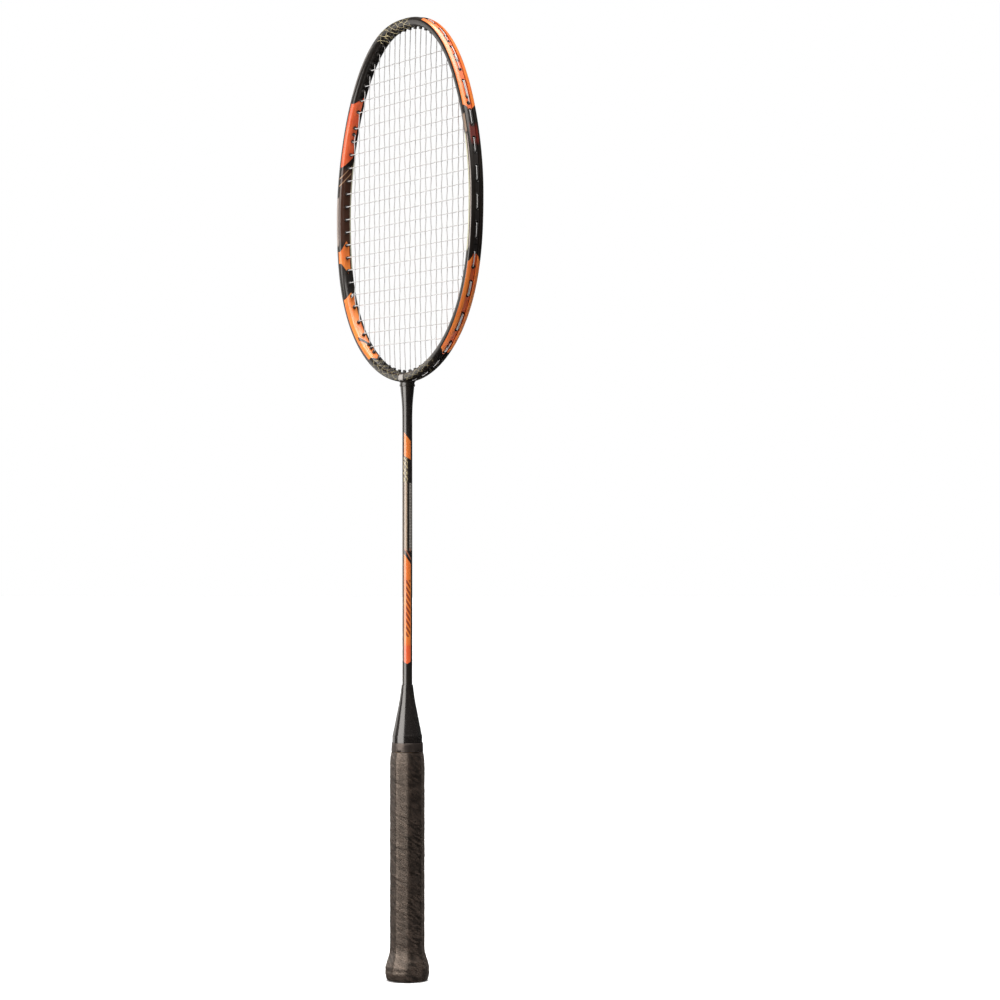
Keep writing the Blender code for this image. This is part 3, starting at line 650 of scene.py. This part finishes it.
def grip_material():
    """Tacky synthetic leather: pores, slanting streaks and paler worn patches."""
    m = Shade("grip_leather", {
        SPECULAR: 0.9, "Specular Tint": (1.0, 0.84, 0.72),
        "Sheen Weight": 0.08, "Sheen Roughness": 0.45, "Sheen Tint": (0.75, 0.60, 0.50)})
    reach = m.angle().math("WRAP", 202.5, -157.5) * 0.21     # millimetres round the grip
    slant = m.z + reach * 0.62
    run = reach - m.z * 0.62
    streak = m.noise(1.0, 4.0, 0.65, m.vector(slant * 0.50, run * 0.11, 0.0), 0.6)
    cloud = m.noise(0.16, 5.0, 0.65)
    pores = m.noise(1.7, 3.0, 0.6)
    creases = m.noise(0.42, 5.0, 0.75, m.drawn(2.0), 1.2)
    lift = streak.remap(0.42, 0.62, 0.0, 1.0)
    spots = m.noise(0.55, 2.0, 0.5).remap(0.64, 0.70, 0.0, 0.85)
    colour = m.mix(lift, (0.0016, 0.0011, 0.0009), (0.040, 0.029, 0.023))
    colour = m.mix(cloud.remap(0.45, 0.75, 0.0, 0.4), colour, (0.048, 0.036, 0.029))
    colour = m.mix(spots, colour, (0.005, 0.004, 0.0035))
    rough = (cloud * 0.8 + (pores * 0.3 + lift * -0.40)).remap(0.2, 0.85, 0.27, 0.50)
    return m.finish(colour, rough, m.bump(streak * 1.2 + (creases * 0.6 + pores * 0.35), 0.00028, 0.7))


def wood_material():
    """Pale handle wood with its grain running up the handle."""
    m = Shade("pale_wood", {})
    grain = m.noise(0.6, 6.0, 0.65, m.drawn(0.05), 0.8)
    bands = (m.x + grain * 3.0).stripes(2.3, 0.5, 0.8)
    colour = m.mix(grain, (0.66, 0.47, 0.27), (0.46, 0.30, 0.15))
    colour = m.mix(bands * 0.4, colour, (0.36, 0.22, 0.11))
    return m.finish(colour, grain.remap(0.3, 0.8, 0.5, 0.75), m.bump(grain, 0.0001, 0.4))


def label_material():
    """Brushed silver foil, darker along its two ends."""
    m = Shade("silver_foil", {"Metallic": 0.85})
    brushed = m.noise(1.0, 4.0, 0.7, m.vector(m.x * 0.25, m.y, m.z * 6.0))
    colour = m.mix(brushed, (0.52, 0.50, 0.49), (0.76, 0.74, 0.71))
    colour = m.mix((1.0 - m.x.between(-2.9, 2.9, 0.3)) * 0.5, colour, (0.30, 0.28, 0.26))
    return m.finish(colour, brushed.remap(0.3, 0.8, 0.36, 0.52), m.bump(brushed, 0.00003, 0.4))


def floor_material():
    m = Shade("pale_floor", {SPECULAR: 0.2})
    colour = m.mix(m.noise(0.004, 3.0, 0.5), (0.84, 0.845, 0.86), (0.87, 0.875, 0.89))
    grain = m.noise(0.4, 3.0, 0.6)
    return m.finish(colour, grain.remap(0.2, 0.8, 0.6, 0.8), m.bump(grain, 0.0001, 0.1))


# ---------------- hoop
OUT_MID = HOOP_WIDTH * 0.10      # level of the widest part of the section
LIP_START = 0.0023
OUTER_POWER = 2 / 2.7
INNER_POWER = 2 / 2.8


def half_section(sunk):
    """(level, y) from the middle of the groove to the middle of the inner wall, sunk 0 to 1."""
    w = HOOP_WIDTH / 2
    t = HOOP_THICKNESS / 2
    groove = [
        (GROOVE_DEPTH, 0.0), (GROOVE_DEPTH, 0.0008), (GROOVE_DEPTH, 0.00155),
        (GROOVE_DEPTH - 0.00006, 0.00178), (GROOVE_DEPTH - 0.00028, 0.00190),
        (GROOVE_DEPTH * 0.5, 0.00194), (0.00030, 0.00198), (0.00010, 0.00206),
    ]
    made = [(w - drop * sunk, y) for drop, y in groove]
    for a in spread(math.asin((LIP_START / t) ** (1 / OUTER_POWER)), math.pi / 2, 10):
        level = OUT_MID + (w - OUT_MID) * max(math.cos(a), 0.0) ** OUTER_POWER
        made.append((level, t * math.sin(a) ** OUTER_POWER))
    for a in spread(math.pi / 2, 0.0, 14)[1:]:
        level = OUT_MID - (w + OUT_MID) * math.cos(a) ** INNER_POWER
        made.append((level, t * max(math.sin(a), 0.0) ** INNER_POWER))
    return made


def build_head():
    count = 460
    loops = []
    arcs = []
    levels = []
    for i in range(count):
        s = HOOP_LENGTH * i / count
        near = min(s, HOOP_LENGTH - s)
        half = half_section(ease(near, GROOVE_START - 0.0006, GROOVE_START + 0.0010))
        points = half + [(n, -y) for n, y in reversed(half[1:-1])]
        loops.append([at(s, n, y) for n, y in points])
        arcs += [near / MM] * len(points)
        levels += [n / MM for n, y in points]
    piece("hoop", skin(loops, closed=True), "head_frame", [head_material()],
          marks={"arc": arcs, "level": levels}, crease=40)


# ---------------- grommet strips
BORE = 0.00086
BAND_STEPS = 4
HALF_PATCH = 0.00148             # half the length of the slab's square round a hole
BAND_HOLE_R = 0.00112
RUN_STEP = 0.0018


def band_slab(low_s, high_s, members):
    """The strip itself: a thin slab along the groove, pierced by a round hole at each barrel."""
    verts = []
    faces = []
    known = {}
    rows = spread(-BAND_HALF, BAND_HALF, BAND_STEPS)

    def quad(*corners):
        """A face over (s, y, level) corners; corners in one place share a vertex."""
        face = []
        for corner in corners:
            tag = tuple(round(number * 1e7) for number in corner)
            if tag not in known:
                known[tag] = len(verts)
                verts.append(corner)
            face.append(known[tag])
        faces.append(tuple(face))

    def walls(line):
        """Faces from the slab's inner to its outer side along a line of (s, y)."""
        for a, b in zip(line, line[1:]):
            quad((*a, BAND_IN), (*b, BAND_IN), (*b, BAND_OUT), (*a, BAND_OUT))

    def plain(s0, s1):
        stations = spread(s0, s1, max(1, math.ceil((s1 - s0) / RUN_STEP)))
        for a, b in zip(stations, stations[1:]):
            for y0, y1 in zip(rows, rows[1:]):
                for level in (BAND_IN, BAND_OUT):
                    quad((a, y0, level), (b, y0, level), (b, y1, level), (a, y1, level))
        for y in (-BAND_HALF, BAND_HALF):
            walls([(s, y) for s in stations])

    def pierced(s):
        steps = [2 * k / BAND_STEPS - 1 for k in range(BAND_STEPS)]
        square = [(u, -1) for u in steps] + [(1, v) for v in steps]
        square += [(-u, 1) for u in steps] + [(-1, -v) for v in steps] + [(-1, -1)]
        edge = [(s + u * HALF_PATCH, v * BAND_HALF) for u, v in square]
        turns = [math.atan2(v, u) for u, v in square]
        rim = [(s + BAND_HOLE_R * math.cos(a), BAND_HOLE_R * math.sin(a)) for a in turns]
        for a, b, c, d in zip(edge, edge[1:], rim[1:], rim):
            for level in (BAND_IN, BAND_OUT):
                quad((*a, level), (*b, level), (*c, level), (*d, level))
        walls(rim)
        for y in (-BAND_HALF, BAND_HALF):
            walls([(place, y) for place in spread(s - HALF_PATCH, s + HALF_PATCH, BAND_STEPS)])

    reach = low_s
    for s in sorted(hole.s for hole in members):
        if s - HALF_PATCH - reach > 1e-6:
            plain(reach, s - HALF_PATCH)
        pierced(s)
        reach = s + HALF_PATCH
    plain(reach, high_s)
    for s in (low_s, high_s):
        walls([(s, y) for y in rows])
    return [at(s, level, y) for s, y, level in verts], faces, [throat_distance(v[0]) for v in verts]


def barrel(hole):
    """A hollow barrel with a rounded tip inside the hoop and a low collar in the groove."""
    grade = hole.axis.dot(outward(hole.s))
    length = (hole.mouth + hole.axis * ((BAND_OUT - LOOP_LEVEL) / grade) - hole.tip).length
    tip = [(BORE + 0.00004, 0.0), (0.00104, 0.00001), (0.00114, 0.00008), (0.00120, 0.00024),
           (0.00123, 0.0006), (0.00126, 0.0016)]
    collar = [(0.00126, -0.00045), (0.00138, -0.00012), (0.00146, 0.00002), (0.00146, 0.00010),
              (0.00138, 0.00019), (0.00122, 0.00021), (0.00104, 0.00014), (0.00092, -0.00006),
              (BORE, -0.0004)]
    profile = tip + [(r, length + d) for r, d in collar] + [(BORE, 0.0003), (BORE, 0.00005)]
    up = Vector((0, 1, 0))
    side = hole.axis.cross(up).normalized()
    loops = []
    for a in angles(20):
        way = up * math.cos(a) + side * math.sin(a)
        loops.append([hole.tip + hole.axis * d + way * r for r, d in profile])
    return skin(loops, closed=True)


def build_strips():
    materials = [band_material(), moulded_material(
        "grommet_nylon", 2.4, 0.65, (0.009, 0.008, 0.008), (0.030, 0.026, 0.024), (0.32, 0.6), 0.00003)]
    side_total = len(holes) - 3
    places = ["throat", "lower_side", "middle_side", "upper_side", "shoulder"]
    cuts = [round(side_total * k / len(places)) for k in range(len(places) + 1)]

    def middle(a):
        """Half way between a hole and the one before it."""
        return (holes[a - 1][0] + holes[a][0]) / 2

    jobs = []
    for side, word in ((1, "right"), (-1, "left")):
        for place, first, end in zip(places, cuts, cuts[1:]):
            low_s = middle(first) + STRIP_SPLIT / 2 if first else GROOVE_START + 0.0003
            high_s = middle(end) - STRIP_SPLIT / 2
            if side < 0:
                low_s, high_s = HOOP_LENGTH - high_s, HOOP_LENGTH - low_s
            jobs.append((place + "_" + word, low_s, high_s, [Hole(n, side) for n in range(first, end)]))
    low_s = middle(side_total) + STRIP_SPLIT / 2
    crown = [Hole(n, side) for side in (1, -1) for n in range(side_total, len(holes))]
    jobs.append(("crown", low_s, HOOP_LENGTH - low_s, crown))

    for tag, low_s, high_s, members in jobs:
        verts, faces, arcs = band_slab(low_s, high_s, members)
        slab_faces = len(faces)
        for hole in members:
            more_verts, more_faces = barrel(hole)
            faces += [tuple(len(verts) + i for i in face) for face in more_faces]
            verts += more_verts
            arcs += [throat_distance(hole.s)] * len(more_verts)
        paints = [0] * slab_faces + [1] * (len(faces) - slab_faces)
        piece("grommets_" + tag, (verts, faces), "grommet_strip_" + tag, materials,
              marks={"arc": arcs}, paints=paints, crease=40)


# ---------------- strings
STRING_SIDES = 10
MAIN_SWAY = 0.00022
CROSS_SWAY = 0.00048
BEND = 0.0009                    # how far a bend at a hole's mouth reaches
MIN_STEP = 0.00004
KNOT_TURNS = 2.5


def corner(before, bend, after, steps):
    """Points round a rounded bend."""
    return [before * (1 - t) ** 2 + bend * (2 * t * (1 - t)) + after * t ** 2
            for t in spread(0.0, 1.0, steps)]


def over_under(column, row):
    """Which side the main lies on where it meets a cross: +1 is the back."""
    return 1 if (column + row) % 2 == 0 else -1


def woven(start, end, kind, number, lane):
    """Points of one string across the bed, over and under the strings it meets."""
    if kind == "main":
        axis, sway = 2, MAIN_SWAY
        meets = [(z, over_under(number, row)) for row, z in enumerate(crosses_z)]
    else:
        axis, sway = 0, -CROSS_SWAY
        meets = [(main_pitch * (column - (MAIN_COUNT - 1) / 2), over_under(column, number))
                 for column in range(MAIN_COUNT)]
    low, high = sorted((start[axis], end[axis]))
    length = end[axis] - start[axis]
    places = [((place - start[axis]) / length, way * sway) for place, way in meets if low < place < high]
    places = [(0.0, lane)] + sorted(places) + [(1.0, lane)]
    made = []
    for (t0, y0), (t1, y1) in zip(places, places[1:]):
        for k in range(6):
            f = k / 6
            point = start.lerp(end, t0 + (t1 - t0) * f)
            point.y = y0 + (y1 - y0) * (1 - math.cos(math.pi * f)) / 2
            made.append(point)
    return made


def through(hole, lane, inside, towards_s):
    """From just inside the hoop, out through a hole and round into the groove."""
    bend = hole.inner_end(lane)
    before = bend + (inside - bend).normalized() * 0.0007
    mouth = hole.mouth + Vector((0, lane, 0))
    way = 1 if towards_s > hole.s else -1
    return (corner(before, bend, bend + hole.axis * 0.0007, 4)
            + corner(mouth - hole.axis * BEND, mouth, at(hole.s + way * BEND, LOOP_LEVEL, lane), 6))


def hop(start, inside_start, end, inside_end, lane):
    """Out through one hole, along the groove and in through another."""
    way = 1 if end.s > start.s else -1
    run = abs(end.s - start.s) - 2 * BEND
    along_groove = spread(BEND, BEND + run, max(2, math.ceil(run / RUN_STEP)))[1:-1]
    return (through(start, lane, inside_start, end.s)
            + [at(start.s + way * step, LOOP_LEVEL, lane) for step in along_groove]
            + through(end, lane, inside_end, start.s)[::-1])


def tail_knot(hole, lane, along_string):
    """Turns round the string that leaves the same hole, and a short cut end."""
    host = Vector((hole.tip.x, -lane, hole.tip.z))
    up = Vector((0, 1, 0)) * math.copysign(1.0, lane)
    side = along_string.cross(up).normalized()
    radius = 2 * STRING_R + 0.00004
    made = [host + along_string * 0.00045 + up * (abs(lane) * 2)]
    for turn in spread(0.0, KNOT_TURNS, 44):
        a = 2 * math.pi * turn
        made.append(host + along_string * (0.0009 + 0.00070 * turn)
                    + up * (radius * math.cos(a)) + side * (radius * math.sin(a)))
    last = made[-1]
    way = (last - made[-2]).normalized()
    away = (last - host - along_string * (last - host).dot(along_string)).normalized()
    for t in spread(0.0, 1.0, 5)[1:]:
        made.append(last + way * (0.0022 * t) + away * (0.0009 * t * t) - along_string * (0.0004 * t * t))
    return made


def build_string(name, kind, spans, ties, lane, material):
    """spans: (hole, hole, number) across the bed in order; ties: (hole, way of the string tied to)."""
    head, tail = (tail_knot(hole, lane, way) for hole, way in ties)
    path = head[::-1] + hop(ties[0][0], head[0], spans[0][0], spans[0][1].inner_end(lane), lane)
    for n, (start, end, number) in enumerate(spans):
        a, b = start.inner_end(lane), end.inner_end(lane)
        line = woven(a, b, kind, number, lane)
        path += [p for p in line[1:] if (p - a).length > BEND and (p - b).length > BEND]
        if n + 1 < len(spans):
            path += hop(end, a, spans[n + 1][0], spans[n + 1][1].inner_end(lane), lane)
    path += hop(end, a, ties[1][0], tail[0], lane) + tail
    kept = path[:1]
    for point in path[1:]:
        if (point - kept[-1]).length > MIN_STEP:
            kept.append(point)

    loops = []
    runs = []
    run = 0.0
    for i, point in enumerate(kept):
        before = kept[max(i - 1, 0)]
        after = kept[min(i + 1, len(kept) - 1)]
        run += (point - before).length
        way = (after - before).normalized()
        side = way.cross(Vector((0, 1, 0)))
        if side.length < 0.25:
            side = last_side - way * last_side.dot(way)
        side.normalize()
        if i and side.dot(last_side) < 0:
            side = -side
        last_side = side
        up = side.cross(way).normalized()
        radius = STRING_R * (0.35 if i in (0, len(kept) - 1) else 1.0)
        loops.append([point + (up * math.cos(a) + side * math.sin(a)) * radius for a in angles(STRING_SIDES)])
        runs += [run / MM] * STRING_SIDES
    turns = [abs(2 * k / STRING_SIDES - 1) for k in range(STRING_SIDES)] * len(kept)
    piece(name, skin(loops), kind + "_string", [material],
          marks={"run": runs, "turn": turns})


def free_hole(number, step, kind):
    """Number of the nearest hole that no string of this kind uses."""
    number += step
    while any(user[0] == kind for user in holes[number][1]):
        number += step
    return number


def build_strings():
    nylon = string_material()
    count = MAIN_COUNT // 2
    spans = []
    for column in range(MAIN_COUNT):
        k, side = (count - 1 - column, -1) if column < count else (column - count, 1)
        ends = [Hole(hole_of[("main", k, end)], side) for end in ("low", "top")]
        spans.append((*(ends if column % 2 == 0 else reversed(ends)), column))
    tie = free_hole(hole_of[("main", count - 1, "low")], 1, "main")
    ties = [(Hole(tie, -1), Vector((1, 0, 0))), (Hole(tie, 1), Vector((-1, 0, 0)))]
    build_string("mains", "main", spans, ties, LANE, nylon)

    spans = []
    for row in range(CROSS_COUNT):
        side = 1 if row % 2 == 0 else -1
        number = hole_of[("cross", row)]
        spans.append((Hole(number, side), Hole(number, -side), row))
    top_tie = free_hole(hole_of[("cross", 0)], 1, "cross")
    low_tie = free_hole(hole_of[("cross", CROSS_COUNT - 1)], -1, "cross")
    ties = [(Hole(top_tie, 1), Vector((0, 0, -1))), (Hole(low_tie, -side), Vector((0, 0, 1)))]
    build_string("crosses", "cross", spans, ties, -LANE, nylon)


# ---------------- neck, shaft, cone, tape
def lathe(name, node, material, profile, sides, hollow=False):
    """A turned piece from (radius, height) points, bottom to top, and back down if it is hollow."""
    loops = [ring(r, z, sides) for r, z in profile]
    piece(name, skin(loops, closed=hollow), node, [material], crease=35)


def build_neck():
    rim = THROAT_Z - 0.0029
    swell = NECK_TOP_RADIUS - SHAFT_RADIUS
    climb = [(0.0, 0.0), (0.02, 0.0035), (0.12, 0.0095), (0.34, 0.0152), (0.62, 0.0204)]
    body = [(SHAFT_RADIUS + swell * share, SHAFT_TOP + rise) for share, rise in climb]
    body = smooth_line(body + [(NECK_TOP_RADIUS - 0.00055, rim - 0.0003)], 8)
    lip = mm((-0.12, -0.18), (0.0, 0.0), (0.03, 0.6), (0.0, 1.10), (-0.12, 1.24), (-0.30, 1.34),
             (-0.32, 1.8), (-0.20, 2.5), (0.1, 3.1), (0.6, 3.7))
    lip = [(NECK_TOP_RADIUS + out, rim + up) for out, up in lip]
    spigot = [(0.0022, SHAFT_TOP - 0.020), (0.0022, SHAFT_TOP)]
    lathe("neck", "throat_joint", neck_material(), spigot + body + lip, 72)


def build_shaft():
    top = SHAFT_TOP - 0.00001
    profile = [(SHAFT_RADIUS - 0.0003, SHAFT_BOTTOM - 0.0001)]
    profile += [(SHAFT_RADIUS, z) for z in spread(SHAFT_BOTTOM, top, 60)]
    profile += [(0.0025, top), (0.0025, SHAFT_BOTTOM)]
    lathe("shaft", "shaft_tube", shaft_material(), profile, 64, hollow=True)


def build_cone():
    skirt = [(SKIRT_RADIUS, 0.1605), (SKIRT_RADIUS, 0.1713), (SKIRT_RADIUS - 0.00006, 0.1719),
             (SKIRT_RADIUS - 0.00016, 0.1723)]
    slope = smooth_line(mm(
        (10.12, 172.7), (9.50, 175.7), (8.72, 179.5), (7.95, 183.4), (7.22, 187.2), (6.42, 191.2),
        (5.68, 195.0), (5.02, 199.2), (4.50, 203.0), (4.18, 205.7)), 6)
    top = [(0.00409, 0.2066), (0.00404, 0.2070), (0.00395, CONE_TOP), (0.00388, CONE_TOP),
           (0.00380, CONE_TOP - 0.00012)]
    inside = mm((3.8, 190.0), (7.8, 171.6), (9.25, 160.6))
    lathe("cone", "cone_cap", cone_material(), skirt + slope + top + inside, 96, hollow=True)


def build_tape():
    """The tape is one turn and a bit: its last end lies over its first."""
    end = math.radians(200.0)
    base = SKIRT_RADIUS + 0.00028
    low, high = 0.1606, 0.1668
    loops = []
    for a in angles(144):
        turned = ((a - end) % (2 * math.pi)) / (2 * math.pi)
        lap = 1 - ease(turned, 0.0, 0.012) + ease(turned, 0.80, 0.82)
        out = base + 0.00022 + 0.00016 * lap
        wave = 0.00004 * math.sin(a * 5 + 1.0) + 0.00003 * math.sin(a * 11)
        profile = [
            (base, low), (out + 0.00016, low), (out + 0.00024, low + 0.0001),
            (out + 0.00016 + wave, low + 0.0022), (out + 0.00006 - wave, low + 0.0042),
            (out, high - 0.0001 + wave), (out - 0.00006, high + wave), (base, high),
        ]
        loops.append([Vector((r * math.cos(a), r * math.sin(a), z)) for r, z in profile])
    piece("tape", skin(loops, closed=True), "finishing_tape", [tape_material()], crease=40)


# ---------------- grip, butt, label
GRIP_SIDES = 128
WRAP_PITCH = 0.0225
FLATS = mm(                      # height, width across the flats
    (0.5, 27.8), (1.0, 28.5), (1.8, 29.1), (3.2, 29.8), (5.0, 30.2), (6.5, 30.3), (8.5, 30.05),
    (11.0, 29.3), (13.0, 28.0), (15.0, 26.6), (17.0, 25.3), (19.0, 24.2), (21.2, 23.6), (24.0, 23.4),
    (30.0, 23.4), (148.0, 23.4), (153.0, 23.3), (156.5, 22.8), (159.0, 22.1), (160.2, 21.7))


def flats_at(z):
    """Width across the grip's flats at a height."""
    i = min(max(bisect.bisect_right(FLATS, (z, math.inf)) - 1, 0), len(FLATS) - 2)
    (z0, wide0), (z1, wide1) = FLATS[i:i + 2]
    return wide0 + (wide1 - wide0) * min(max((z - z0) / (z1 - z0), 0.0), 1.0)


def eight_sided(angle, apothem, power):
    """Radius of an eight-sided section with rounded corners at an angle."""
    total = sum(abs(math.cos(angle - math.pi / 4 * k)) ** power for k in range(4))
    return apothem / total ** (1 / power)


def grip_radius(a, z):
    """The wrap's outside: flats, the spiral's lap and dip, and slight unevenness."""
    wide = (flats_at(z - 0.0006) + flats_at(z) * 2 + flats_at(z + 0.0006)) / 4
    corner_power = 26 - 6 * ease(z, 0.148, 0.160) - 12 * (1 - ease(z, 0.004, 0.020))
    ripple = 0.00010 * math.sin(z / 0.0021 * math.pi) * (1 - ease(z, 0.010, 0.022)) * ease(z, 0.002, 0.004)
    turn = (z / WRAP_PITCH + a / (2 * math.pi)) % 1.0
    ridge = 0.00009 * ease(turn, 0.0, 0.035) * (1 - ease(turn, 0.035, 0.24))
    dip = 0.00007 * ease(turn, 0.93, 0.985) * (1 - ease(turn, 0.985, 1.0))
    shown = ease(z, 0.020, 0.030) * (1 - ease(z, 0.150, 0.158))
    swell = 0.00005 * math.sin(z * 331 + a * 3) + 0.00002 * math.sin(z * 911 - a * 2 + 1.3)
    radius = eight_sided(a, wide / 2, corner_power)
    return radius + (ridge - dip) * shown + swell * ease(z, 0.003, 0.008) + ripple - 0.00008


def build_grip():
    rows = spread(0.0005, 0.0012, 6)[:-1]
    z = 0.0012
    while z < GRIP_TOP - 0.0004:
        rows.append(z)
        z += 0.00062
    rows.append(GRIP_TOP)
    loops = [ring(lambda a: grip_radius(a, z), z, GRIP_SIDES) for z in rows]
    for z in reversed(rows[::12] + [GRIP_TOP]):
        room = flats_at(z) / 2 - GRIP_THICKNESS
        if z < 0.003:
            room = BUTT_CAP_RADIUS + 0.0003
        if z > 0.152:
            room = min(room + 0.0006, 0.0101)
        loops.append(ring(lambda a: eight_sided(a, room, 20), z, GRIP_SIDES))
    piece("grip", skin(loops, closed=True), "grip_wrap", [grip_material()], crease=50)


def build_butt():
    plastic = moulded_material(
        "butt_plastic", 1.5, 0.7, (0.010, 0.009, 0.009), (0.034, 0.030, 0.028), (0.4, 0.7), 0.00008)
    r = BUTT_CAP_RADIUS / MM
    profile = mm(
        (0.4, 0.35), (6.0, 0.35), (6.6, 0.30), (7.0, 0.12), (7.4, 0.04), (r - 1.2, 0.0), (r - 0.6, 0.04),
        (r - 0.2, 0.2), (r - 0.02, 0.5), (r, 0.9), (r, 1.7), (0.4, 1.7))
    lathe("butt_disc", "butt_cap", plastic, profile, 96)


def build_label():
    """A foil label bent over the front of the hoop above the neck."""
    chosen = [p for p in half_section(0.0) if -0.0021 < p[0] < 0.0027]
    half_width = 0.0033
    loops = []
    for x in spread(-half_width, half_width, 10):
        trim = 0.0004 * max(0.0, abs(x) / half_width - 0.85) / 0.15
        inner, outer = [], []
        for i, (level, y) in enumerate(chosen):
            before, after = chosen[max(i - 1, 0)], chosen[min(i + 1, len(chosen) - 1)]
            out = Vector((after[1] - before[1], before[0] - after[0])).normalized()
            if out.y < 0:
                out = -out
            pull = trim if i == 0 else -trim if i == len(chosen) - 1 else 0.0
            for row, thick in ((inner, 0.00010), (outer, 0.00028)):
                place = Vector((level, y)) + out * thick
                row.append(Vector((x, -place.y, HEAD_BOTTOM - place.x + pull)))
        loops.append(inner + outer[::-1])
    piece("label", skin(loops), "throat_sticker", [label_material()], crease=50)


build_head()
build_strips()
build_strings()
build_neck()
build_shaft()
build_cone()
build_tape()
build_grip()
build_butt()
build_label()
wood = wood_material()
for material_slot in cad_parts["handle_core"].material_slots:
    material_slot.material = wood

# ---------------- floor, light and surroundings
FLOOR_FRONT = -0.14              # the floor starts here, so that it is not mirrored in the lacquer
FLOOR_BACK = 12.0
FLOOR_HALF = 4.5
FLOOR_STEPS = 16

verts = [towards * ahead + sideways * across + Vector((0, 0, -0.0003))
         for ahead in spread(FLOOR_FRONT, FLOOR_BACK, FLOOR_STEPS)
         for across in spread(-FLOOR_HALF, FLOOR_HALF, FLOOR_STEPS)]
row = FLOOR_STEPS + 1
corners = [i * row + j for i in range(FLOOR_STEPS) for j in range(FLOOR_STEPS)]
faces = [(a, a + row, a + row + 1, a + 1) for a in corners]
floor_mesh = bpy.data.meshes.new("floor")
floor_mesh.from_pydata(verts, [], faces)
floor_mesh.materials.append(floor_material())
floor = bpy.data.objects.new("floor", floor_mesh)
floor.visible_glossy = False
scene.collection.objects.link(floor)


def soft_light(name, azimuth, elevation, distance, height, across, upright, radiance):
    """A soft box facing the racket's axis at a height, from an azimuth and elevation."""
    data = bpy.data.lights.new(name, "AREA")
    data.shape = "RECTANGLE"
    data.size = across
    data.size_y = upright
    data.energy = radiance * math.pi * across * upright
    data.color = (1.0, 0.955, 0.91)
    lamp = bpy.data.objects.new(name, data)
    a, e = math.radians(azimuth), math.radians(elevation)
    way = Vector((math.sin(a) * math.cos(e), -math.cos(a) * math.cos(e), math.sin(e)))
    lamp.location = way * distance + Vector((0, 0, height))
    lamp.rotation_mode = "QUATERNION"
    lamp.rotation_quaternion = (-way).to_track_quat("-Z", "Y")
    scene.collection.objects.link(lamp)


soft_light("key", 7.0, 0.0, 1.0, 0.46, 0.95, 0.92, 5.0)
soft_light("side", -68.0, 0.0, 1.3, 0.48, 0.85, 0.95, 1.1)
soft_light("overhead", 78.0, 55.0, 2.0, 0.40, 1.3, 1.3, 4.9)

# brightness by height: dim at the horizon, a bright cap overhead, plain white for the camera
SKY_RAMPS = ((-0.15, 0.40, 0.03, 0.10), (0.84, 0.94, 0.0, 7.6))
world = bpy.data.worlds.new("studio")
scene.world = world
world.use_nodes = True
sky = Tree(world.node_tree)
height = sky.node("SeparateXYZ", (sky.node("TexCoord", out="Generated"),), 2)
glow = [sky.node("MapRange", (height, *ramp), interpolation_type="SMOOTHSTEP") for ramp in SKY_RAMPS]
light = world.node_tree.nodes["Background"]
sky.feed(light.inputs["Strength"], sky.math("ADD", *glow))
sky.feed(light.inputs["Color"], (1.0, 0.99, 0.98))
backdrop = sky.node("Background", {"Color": (1.0, 1.0, 1.0), "Strength": 1.0})
camera_ray = sky.node("LightPath", out="Is Camera Ray")
blend = sky.node("MixShader", (camera_ray, light.outputs[0], backdrop))
sky.feed(world.node_tree.nodes["World Output"].inputs["Surface"], blend)
